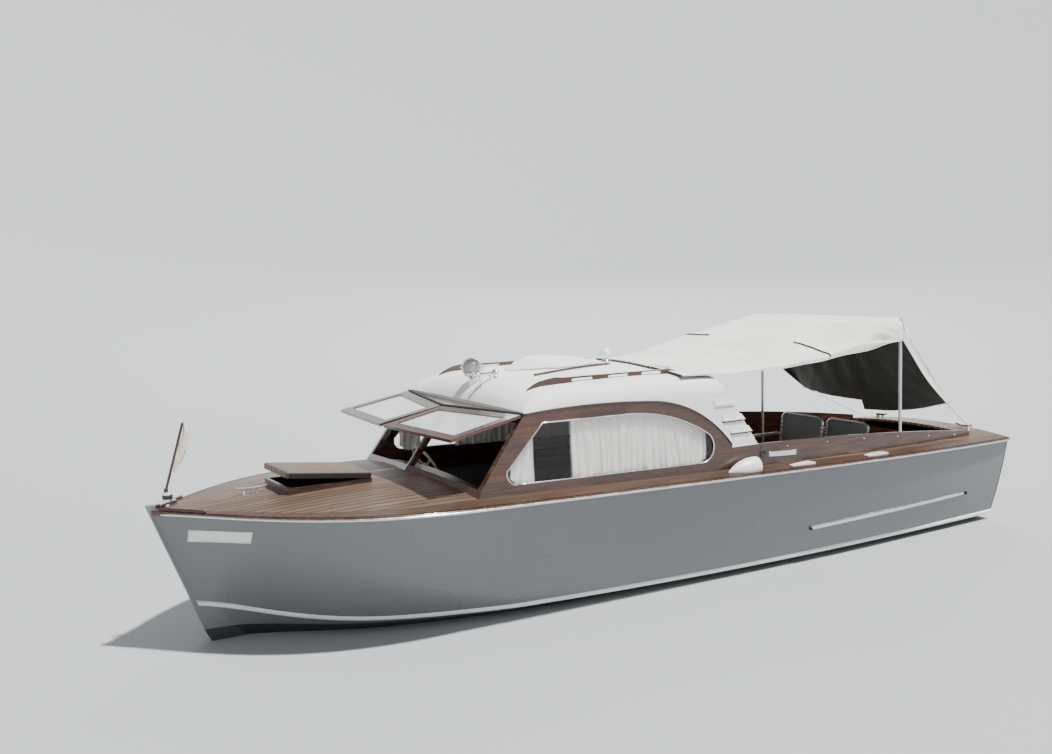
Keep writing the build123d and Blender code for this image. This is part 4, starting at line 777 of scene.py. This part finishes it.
def bundleSurface(around, reach):
    turn = around * 2 * math.pi
    ripple = 1 + 0.05 * math.sin(turn * 5 + 0.6) + 0.035 * math.sin(turn * 11)
    x = bundle["middle"][0] + math.cos(turn) * bundle["size"][0] / 2 * reach * ripple * 0.97
    y = bundle["middle"][1] + math.sin(turn) * bundle["size"][1] / 2 * reach * ripple * 0.97
    base = roofHeight(x, y) + 0.003
    height = max(smoothTable(bundle["profile"], x) - roofHeight(x, 0), 0)
    body = (1 - reach**3.2) ** 0.7 if reach < 1 else 0
    wander = 5 * noise.noise(Vector((x * 4, y * 3, 2)))
    folds = 0.010 * noise.noise(Vector((x * 9, y * 22, 0.3))) + 0.006 * math.sin(y * 60 + wander)
    layer = 0.006 * (math.sin(reach * 22) > 0)
    return Vector((x, y, base + max(height * body + (folds + layer) * min(body * 2, 1), 0.002)))


spare = makeSheet("spareCanvasFolded", bundleSurface, 96, 40, bundle["thickness"], "awning")
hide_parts("spare_canvas")
batten = []
for i in range(25):
    x, y = 0.2 + 0.8 * i / 24, 0.215 + 0.17 * i / 24
    batten.append(Vector((x, y, roofHeight(x, y) + 0.010)))
makeTubes("looseBatten", [batten], bundle["batten"], "woodAlong", 8, 0.8)
print("canvas folded")

# Slung cloth of the folding chairs, held to their tubes by loops
chair = {"places": [("Fore", -1.706, 0.142, 0.790), ("Aft", -2.270, 0.142, 0.680)], "width": 0.51,
         "depth": 0.38, "seat": 0.70, "floor": 0.30, "lean": 0.05, "sag": 0.022, "thickness": 0.002,
         "loopRadius": 0.012 + 0.0022, "loops": 7, "pitch": 0.12}


def slingSurface(low, high, y, sagDir):
    def place(down, across):
        spot = low.lerp(high, 1 - down)
        t = across * 2 - 1
        spot.y = y + t * (chair["width"] / 2 - 0.004)
        bow = (1 - t * t) * math.sin(math.pi * (0.15 + 0.7 * down))
        return spot + sagDir * (chair["sag"] * bow + 0.0015 * math.sin(t * 40) * (1 - abs(t)))

    return place


for end, x, y, backHeight in chair["places"]:
    aft, top = x - chair["depth"] / 2, chair["floor"] + backHeight
    rise = top - chair["seat"]
    backFoot = Vector((aft - chair["lean"] * 0.2, y, chair["seat"] + rise * 0.2))
    seatAft = Vector((aft + 0.03, y, chair["seat"]))
    seatFore = Vector((x + chair["depth"] / 2, y, chair["seat"]))
    for label, low, high, sagDir in (("Back", backFoot, Vector((aft - chair["lean"], y, top)), (-1, 0, 0)),
                                     ("Seat", seatAft, seatFore, (0, 0, -1))):
        name = f"chair{end}{label}"
        sling = slingSurface(low, high, y, Vector(sagDir))
        piece = makeSheet(name, sling, 20, 30, chair["thickness"], "chairCloth")
        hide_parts("chair_cloths")
        loops = []
        for side in (-1, 1):
            edge = Vector((0, side * chair["width"] / 2, 0))
            for loop in range(chair["loops"]):
                start = low.lerp(high, 0.05 + chair["pitch"] * loop)
                stop = low.lerp(high, 0.09 + chair["pitch"] * loop)
                loops.append([start.lerp(stop, i / 2) + edge for i in range(3)])
        makeTubes(name + "Loops", loops, chair["loopRadius"], "chairCloth", 14)
print("chairs slung")

# Settees: a boarded base with crowned cushions on it
settee = {"split": 0.333, "cushions": [(0.200, 0.715), (0.725, 1.240)], "inner": 0.503, "outer": 0.93,
          "top": 0.430, "crown": 0.008, "middle": 0.046, "half": 0.045, "piping": 0.003}
baseMesh = nodes["settees"].data.copy()
skinTree = meshTree("topside_port", "topside_starboard")
for vertex in baseMesh.vertices:
    if vertex.co.z > settee["split"]:
        vertex.co.z = settee["split"]
        side = math.copysign(1, vertex.co.y)
        skin, _ = touch(skinTree, (vertex.co.x, side * 0.5, settee["split"]), (0, side, 0))
        if skin:  # kept inside the topside
            vertex.co.y = side * min(abs(vertex.co.y), abs(skin.y) - 0.006)
baseMesh.materials.clear()
baseMesh.materials.append(finishes["woodAlong"])
base = addObject("setteeBases", baseMesh)
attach(base, "hull")
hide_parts("settees")
setteeTree = meshTree("settees")


def makeCushion(name, spanX, side):
    rows, columns, points = 40, 36, []
    lowX, highX = spanX
    middle, half = settee["split"] + settee["middle"], settee["half"]
    edges = []
    for i in range(rows):
        x = lowX + (highX - lowX) * i / (rows - 1)
        spot, _ = touch(setteeTree, (min(max(x, 0.2), 1.24), side * 1.5, 0.40), (0, -side, 0))
        edges.append((abs(spot.y) if spot else settee["outer"]) - 0.004)
    for layer in (1, 0):
        for i in range(rows):
            for j in range(columns):
                u, v = i / (rows - 1) * 2 - 1, j / (columns - 1) * 2 - 1
                swell = ((1 - u**8) ** 0.3) * ((1 - v**8) ** 0.3)
                pinch = 0.006 * (1 - swell)
                x = (lowX + highX) / 2 + u * ((highX - lowX) / 2 - 0.004 * (1 - v * v) * abs(u) ** 6)
                y = settee["inner"] + (edges[i] - settee["inner"]) * (v + 1) / 2
                if layer:
                    z = middle + half * swell + settee["crown"] * (1 - u * u) * (1 - v * v) * 0.6 - pinch
                else:
                    z = middle - half * min(swell * 1.4, 1)
                points.append(Vector((x, side * y, min(z, settee["top"] - 0.0005))))
    faces, below = gridFaces(rows, columns), rows * columns
    faces += [tuple(below + k for k in reversed(face)) for face in gridFaces(rows, columns)]
    rim = [j for j in range(columns)] + [i * columns + columns - 1 for i in range(1, rows)]
    rim += [(rows - 1) * columns + j for j in range(columns - 2, -1, -1)]
    rim += [i * columns for i in range(rows - 2, 0, -1)]
    faces += [(k, ahead, ahead + below, k + below) for k, ahead in zip(rim, rim[1:] + rim[:1])]
    piece = makePiece(name, points, faces, "cushion")
    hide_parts("settees")
    piping = [points[k] * 0.5 + points[k + below] * 0.5 for k in rim]
    makeTubes(name + "Piping", [piping + piping[:1]], settee["piping"], "chairCloth", 6)


for side, label in bothSides:
    for count, span in enumerate(settee["cushions"]):
        makeCushion(f"setteeCushion{label}{count + 1}", span, side)
print("cushions laid")

# Furled pennant on the bow staff
pennant = {"foot": (3.632, 0, 1.262), "head": (3.553, 0, 1.535), "thickness": 0.001}


def pennantSurface(along, around):
    line = Vector(pennant["foot"]).lerp(Vector(pennant["head"]), along)
    width = 0.044 * math.sin(math.pi * min(along * 0.9 + 0.12, 1)) ** 0.6
    turn = around * 2 * math.pi
    ripple = 1 + 0.28 * math.sin(turn * 4 + along * 9)
    x = line.x - width * 0.55 - width * 0.75 * math.cos(turn) * ripple
    return Vector((x, 0.012 * math.sin(turn) * ripple, line.z - 0.025 * (1 - math.cos(turn))))


flag = makeSheet("pennantFurled", pennantSurface, 30, 48, pennant["thickness"], "pennant")
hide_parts("pennant")
print("pennant furled")

# Bright strip along the rub rail, with its screws
railTree = meshTree("rub_rails")
rail = {"from": -3.79, "length": 7.55, "steps": 180, "below": 0.022, "radius": 0.010,
        "screw": (0.006, 0.004)}
sheerLine = [(-3.81, 0.787), (-2.104, 0.835), (-0.397, 0.879), (1.31, 0.920), (1.81, 0.931), (2.31, 0.942),
             (2.81, 0.952), (3.31, 0.963), (3.81, 0.973)]
strips, screws = [], []
for side in (1, -1):
    line = []
    for i in range(rail["steps"] + 1):
        x = rail["from"] + rail["length"] * i / rail["steps"]
        z = smoothTable(sheerLine, x) - rail["below"]
        spot, normal = touch(railTree, (x, side * 1.6, z), (0, -side, 0))
        if spot:
            line.append(spot.copy())
            if i % 6 == 3:
                screws.append((spot + normal * rail["screw"][1], normal))
    strips.append(line)
makeTubes("railStrips", strips, rail["radius"], "steelStrip")
makeDomes("railScrews", screws, *rail["screw"])
print("rail strips laid")

# Bare plates where a number is carried on the bow
plate = {"x": (3.26, 3.60), "z": (0.745, 0.835), "thickness": 0.002, "out": 0.0018}
for side, label in bothSides:
    skin = meshTree("topside_" + label.lower())

    def plateSurface(along, down, side=side, skin=skin):
        x = plate["x"][0] + (plate["x"][1] - plate["x"][0]) * along
        z = plate["z"][1] + (plate["z"][0] - plate["z"][1]) * down
        spot, normal = touchSide(skin, x, z, side, 1.6)
        return spot + normal * plate["out"]

    makeSheet("bowPlate_" + label.lower(), plateSurface, 15, 6, plate["thickness"], "white")
print("bow plates set")

# Trim round the side windows and along the roof's edges
trim = {"bead": 0.006, "edge": 0.007, "front": 0.010, "step": 0.06,
        "frontMiddle": (1.590, 0, 1.486), "frontCorner": (1.436, 0.953, 1.502)}
windowLine = [(1.5, 1.012), (-0.14, 0.978)]
windowLine += arcThrough((-0.14, 0.978), (-0.25, 1.085), (-0.19, 1.205), 12)[1:]
windowLine += arcThrough((-0.19, 1.205), (0.16, 1.362), (0.6, 1.417), 18)[1:]
windowLine += [(1.28, 1.426), (1.586, 1.112)]
windowLine += arcThrough((1.586, 1.112), (1.573, 1.043), (1.5, 1.012), 8)[1:]
roofEdge = arcThrough((1.431, 1.494), (0.88, 1.513), (0.33, 1.488), 24)
roofEdge += arcThrough((0.33, 1.488), (-0.13, 1.348), (-0.428, 1.084), 26)[1:]
beads, edges = [], []
for side in (1, -1):
    dense = []
    for (x0, z0), (x1, z1) in zip(windowLine, windowLine[1:]):
        steps = max(1, int(math.hypot(x1 - x0, z1 - z0) / trim["step"]))
        for k in range(steps):
            dense.append(sidePoint(x0 + (x1 - x0) * k / steps, z0 + (z1 - z0) * k / steps, side, -0.003))
    dense.append(dense[0].copy())
    beads.append(dense)
    edges.append([sidePoint(x, z + 0.004, side, 0.001) for x, z in roofEdge])
makeTubes("windowBeads", beads, trim["bead"], "steelStrip", 8)
makeTubes("roofEdgeBeads", edges, trim["edge"], "woodAlong", 8)
frontEdge = []
for side in (1, -1):
    x, y, z = trim["frontCorner"]
    start, end = Vector(trim["frontMiddle"]), Vector((x, side * y, z))
    frontEdge.append([start.lerp(end, i / 12) for i in range(13)])
makeTubes("roofFrontBead", frontEdge, trim["front"], "rubber", 8, slot="varnished_mahogany")
print("cabin trim fitted")

# Snap fasteners along the coamings
snap = {"places": (-1.0, -1.45, -1.9, -2.35, -2.8, -3.2), "below": 0.035, "size": (0.008, 0.005),
        "coamingTop": [(-3.45, 0.862), (-2.05, 1.004), (-0.72, 1.066)]}
coamingTree = {side: meshTree("coaming_" + label.lower()) for side, label in bothSides}
snaps = []
for side in (1, -1):
    for x in snap["places"]:
        level = smoothTable(snap["coamingTop"], x) - snap["below"]
        spot, normal = touchSide(coamingTree[side], x, level, side)
        if spot:
            snaps.append((spot, normal))
makeDomes("coamingSnaps", snaps, *snap["size"])
print("snaps pressed")

# Louvred quarters: a lip over each slot, and the screws that hold it
louvre = {"starts": [(-0.263, 1.403), (-0.339, 1.271), (-0.415, 1.171)], "rise": 0.046, "proud": 0.011,
          "screws": [(-0.452, 1.302), (-0.520, 1.202)], "screw": (0.006, 0.004), "thickness": 0.002,
          "edge": [(-0.270, 1.700), (-0.480, 1.380), (-0.690, 1.066)]}
quarterEdge = [(z, x) for x, z in arcThrough(*louvre["edge"], 24)]
for side, label in bothSides:
    for count, (startX, level) in enumerate(louvre["starts"]):
        def lipSurface(down, across, side=side, startX=startX, level=level):
            z = level + 0.007 + louvre["rise"] * (1 - down)
            x = startX + 0.004 + (smoothTable(quarterEdge, z) - 0.014 - startX - 0.004) * across
            swell = min(across * 7, 1)
            return sidePoint(x, z, side, 0.0012 + louvre["proud"] * down**2.2 * swell * (2 - swell))

        makeSheet(f"louvreLip{label}{count + 1}", lipSurface, 10, 26, louvre["thickness"], "white")
screws = [(sidePoint(x, z, side, 0.0115), (0, side, 0)) for x, z in louvre["screws"] for side in (1, -1)]
makeDomes("louvreScrews", screws, *louvre["screw"])
print("louvres dressed")

# Searchlight: turned shell with reflector, bulb, lens and fork
lamp = {
    "middle": (1.325, 0, 1.758), "yaw": math.radians(50), "footTop": 1.6683, "forkRadius": 0.084,
    "fork": 0.0050, "stem": 0.012, "knob": (0.011, 0.010), "knobOut": 0.088,
    "shell": [(-0.066, 0), (-0.064, 0.012), (-0.058, 0.030), (-0.044, 0.049), (-0.022, 0.065), (0, 0.072),
              (0.019, 0.0745), (0.022, 0.0765), (0.042, 0.0765), (0.048, 0.0745), (0.0485, 0.070),
              (0.044, 0.068), (0.041, 0.066)],
    "bowl": [(0.041, 0.0675), (0.030, 0.064), (0.010, 0.056), (-0.010, 0.043), (-0.026, 0.024),
             (-0.031, 0)],
    "bulb": [(-0.030, 0.009), (-0.012, 0.009), (-0.008, 0.013), (0.004, 0.016), (0.014, 0.012),
             (0.018, 0)],
    "lens": [(0.0495, 0), (0.048, 0.025), (0.046, 0.045), (0.0425, 0.0675), (0.0450, 0.0680),
             (0.0495, 0.045), (0.0520, 0.025), (0.0530, 0)],
}
lampMiddle = Vector(lamp["middle"])
lampAim = Vector((math.cos(lamp["yaw"]), math.sin(lamp["yaw"]), 0))
lampShell = turnedPiece("searchlightShell", lampMiddle, lampAim, lamp["shell"], "chrome", 40, "searchlight")
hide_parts("searchlight")
for name, finish, sides in (("Bowl", "reflector", 40), ("Bulb", "opal", 20), ("Lens", "lens", 40)):
    turnedPiece("searchlight" + name, lampMiddle, lampAim, lamp[name.lower()], finish, sides, "searchlight")
forkLine = []
lampSide = lampAim.cross(Vector((0, 0, 1)))
for i in range(25):
    turn = math.pi * (1 + i / 24)
    forkLine.append(lampMiddle + lampSide * (math.cos(turn) * lamp["forkRadius"])
                    + Vector((0, 0, math.sin(turn) * lamp["forkRadius"])))
stemLine = [(*lamp["middle"][:2], z) for z in (lamp["footTop"], 1.671, 1.676)]
knobs = [(lampMiddle + lampSide * (way * lamp["knobOut"]), lampSide * way) for way in (1, -1)]
makeTubes("searchlightFork", [forkLine], lamp["fork"], "chrome", 12, body="searchlight")
makeTubes("searchlightStem", [stemLine], lamp["stem"], "chrome", 18, body="searchlight")
makeDomes("searchlightKnobs", knobs, *lamp["knob"], body="searchlight")
print("searchlight built")

# Collar of the mast light, and diaphragm of the roof horn
roofFittings = {
    "mastLightCollar": ((0.084, 0, 1.7115), (0, 0, 1),
                        [(0, 0.040), (0.006, 0.040), (0.010, 0.034), (0.020, 0.030), (0.024, 0.0235)]),
    "hornDiaphragm": ((1.225, 0.170, 1.716), (-1, 0, 0),
                      [(-0.020, 0.0165), (-0.016, 0.026), (0.004, 0.030), (0.016, 0.030), (0.022, 0.024),
                       (0.026, 0)]),
}
for name, (origin, axis, profile) in roofFittings.items():
    turnedPiece(name, origin, axis, profile, "chrome", 28)

# Bow: the bow light's cap and glass band, and toe boards at the deck's edge
bow = {
    "capFoot": (3.690, 0, 1.0660), "bandFoot": (3.690, 0, 1.0340),
    "cap": [(0, 0.0355), (0.004, 0.0370), (0.010, 0.0360), (0.0145, 0.024)],
    "band": [(0, 0.0345), (0.002, 0.0352), (0.026, 0.0352), (0.028, 0.0345)],
    "toe": (3.52, 3.76), "toeInset": 0.022, "toeRadius": 0.011,
}
turnedPiece("bowLightCap", bow["capFoot"], (0, 0, 1), bow["cap"], "white", 32)
turnedPiece("bowLightBand", bow["bandFoot"], (0, 0, 1), bow["band"], "rubber", 32)
foredeckTree = meshTree("foredeck")
toeLines = []
for side in (1, -1):
    line = []
    for i in range(25):
        x = bow["toe"][0] + (bow["toe"][1] - bow["toe"][0]) * i / 24
        y = side * max(smoothTable(sheerHalf, x) - bow["toeInset"], 0.008)
        spot, _ = touch(foredeckTree, (x, y, 1.5), (0, 0, -1))
        if spot:
            line.append(spot + Vector((0, 0, 0.008)))
    toeLines.append(line)
makeTubes("toeBoards", toeLines, bow["toeRadius"], "woodAlong", 8, 1.1)
print("bow dressed")

# End caps of the guard mouldings
guardCap = {"size": (0.0165, 0.020), "back": 0.002, "out": 0.003}
guardPoints = [v.co for v in nodes["guard_mouldings"].data.vertices]
capSpots = []
for side in (1, -1):
    for end, way in ((max, 1), (min, -1)):
        tip = end(v.x for v in guardPoints)
        near = [v for v in guardPoints if abs(v.x - tip) < 0.004 and v.y * side > 0]
        middle = sum(near, Vector()) / len(near)
        shift = Vector((-guardCap["back"] * way, side * guardCap["out"], 0))
        capSpots.append((middle + shift, (way, 0, 0)))
makeDomes("guardCaps", capSpots, *guardCap["size"], "rubber")

# Ribs of the step pads
pad = {"places": ((-1.080, 1.035), (-1.945, 1.000)), "reach": 0.1, "pitch": 0.02, "half": 0.038,
       "rib": 0.0032}
padTree = meshTree("step_pads")
ribs = []
for padX, padY in pad["places"]:
    for side in (1, -1):
        for i in range(11):
            x = padX - pad["reach"] + pad["pitch"] * i
            ends = [touch(padTree, (x, side * (padY + reach), 1.5), (0, 0, -1))[0]
                    for reach in (-pad["half"], 0, pad["half"])]
            if all(ends):
                ribs.append([spot + Vector((0, 0, 0.001)) for spot in ends])
makeTubes("padRibs", ribs, pad["rib"], "white", 6)

# Round vent and bare plate on each coaming
vent = {"x": -0.735, "z": 0.985, "profile": [(0, 0.030), (0.004, 0.030), (0.007, 0.026), (0.006, 0.022),
                                             (0.003, 0.020), (0.005, 0.010), (0.006, 0)]}
namePlate = {"foreX": -0.80, "length": 0.30, "z": 0.992, "height": 0.045, "drop": 0.012, "thickness": 0.002}
for side, label in bothSides:
    spot, normal = touchSide(coamingTree[side], vent["x"], vent["z"], side)
    if spot:
        turnedPiece("coamingVent" + label, spot, normal, vent["profile"], "rubber", 30)

    def bareSurface(down, across, side=side):
        x = namePlate["foreX"] - namePlate["length"] * across
        z = namePlate["z"] - namePlate["height"] * down - namePlate["drop"] * across
        spot, normal = touchSide(coamingTree[side], x, z, side)
        return spot + normal * plate["out"]

    makeSheet("coamingPlate" + label, bareSurface, 6, 18, namePlate["thickness"], "steelStrip")
print("fittings set")

# Dials on the helm console
dials = {"x": 1.30, "places": ((-0.42, 0.885, 0.034), (-0.56, 0.900, 0.044), (-0.70, 0.885, 0.034))}
consoleTree = meshTree("helm_console")
for count, (y, z, radius) in enumerate(dials["places"], 1):
    spot, _ = touch(consoleTree, (dials["x"], y, z), (1, 0, 0))
    if spot:
        bezel = [(0, radius), (0.006, radius), (0.008, radius * 0.93), (0.005, radius * 0.86)]
        face = [(0, radius * 0.86), (0.0030, radius * 0.86), (0.0038, radius * 0.4), (0.0040, 0)]
        turnedPiece(f"dialBezel{count}", spot, (-1, 0, 0), bezel, "chrome", 32)
        turnedPiece(f"dialFace{count}", spot, (-1, 0, 0), face, "dial", 32)
print("helm dials set")

# Stage: a floor that rises far out, lights and camera
stage = {"key": (-3.4, 4.0, 12.6), "keyAim": (0, 0, 0.6), "keyPower": 8.0, "keyWidth": math.radians(3),
         "back": (-11.0, -13.5, 10.5), "backAim": (1.2, 0, 1.2), "backPower": 1700, "backSize": 12,
         "world": 0.42, "sky": (0.86, 0.89, 0.93, 1), "floor": (0.42, 0.43, 0.44, 1), "gloss": 0.6,
         "flat": 11.0, "reach": 150.0, "slope": 0.36, "ease": 6}
sweepPoints, sides = [], 96
profile = [(0.001, 0), (6, 0), (stage["flat"], 0)]
for k in range(1, 13):
    away = (stage["reach"] - stage["flat"]) * (k / 12) ** 1.6
    rise = away - stage["ease"] * math.tanh(away / stage["ease"])
    profile.append((stage["flat"] + away, stage["slope"] * rise))
for radius, height in profile:
    for k in range(sides):
        turn = 2 * math.pi * k / sides
        sweepPoints.append((radius * math.cos(turn), radius * math.sin(turn), height))
floorMesh = bpy.data.meshes.new("floor")
floorMesh.from_pydata(sweepPoints, [], gridFaces(len(profile), sides, closed=True))
floorMesh.shade_smooth()
floor = addObject("floor", floorMesh)
material, tree, shader, place = startMaterial("paleFloor")
fill(tree, shader, Base_Color=stage["floor"], Roughness=stage["gloss"])
floorMesh.materials.append(material)

world = bpy.data.worlds.new("softSky")
bpy.context.scene.world = world
world.use_nodes = True
fill(world.node_tree, world.node_tree.nodes["Background"], Color=stage["sky"], Strength=stage["world"])


def addLight(name, kind, place, aim, energy, size):
    light = bpy.data.lights.new(name, kind)
    light.energy = energy
    if kind == "AREA":
        light.size = size
    else:
        light.angle = size
    holder = addObject(name, light)
    holder.location = place
    holder.rotation_euler = (Vector(aim) - Vector(place)).to_track_quat("-Z", "Y").to_euler()


addLight("keySun", "SUN", stage["key"], stage["keyAim"], stage["keyPower"], stage["keyWidth"])
addLight("backPanel", "AREA", stage["back"], stage["backAim"], stage["backPower"], stage["backSize"])

view = {"place": (5.54462, 8.08252, 2.64875), "right": (-0.86434, 0.50210, -0.02832),
        "up": (-0.07973, -0.08121, 0.99350), "back": (0.49654, 0.86099, 0.11022), "lens": 40.62,
        "sensor": 36.0, "shift": (0.0033, 0.0038)}
camera = bpy.data.cameras.new("camera")
camera.lens = view["lens"]
camera.sensor_width = view["sensor"]
camera.shift_x, camera.shift_y = view["shift"]
holder = addObject("camera", camera)
axes = [view[key] for key in ("right", "up", "back", "place")]
holder.matrix_world = Matrix([[axis[i] for axis in axes] for i in range(3)] + [[0, 0, 0, 1]])
bpy.context.scene.camera = holder
bpy.context.view_layer.update()
print("stage set")
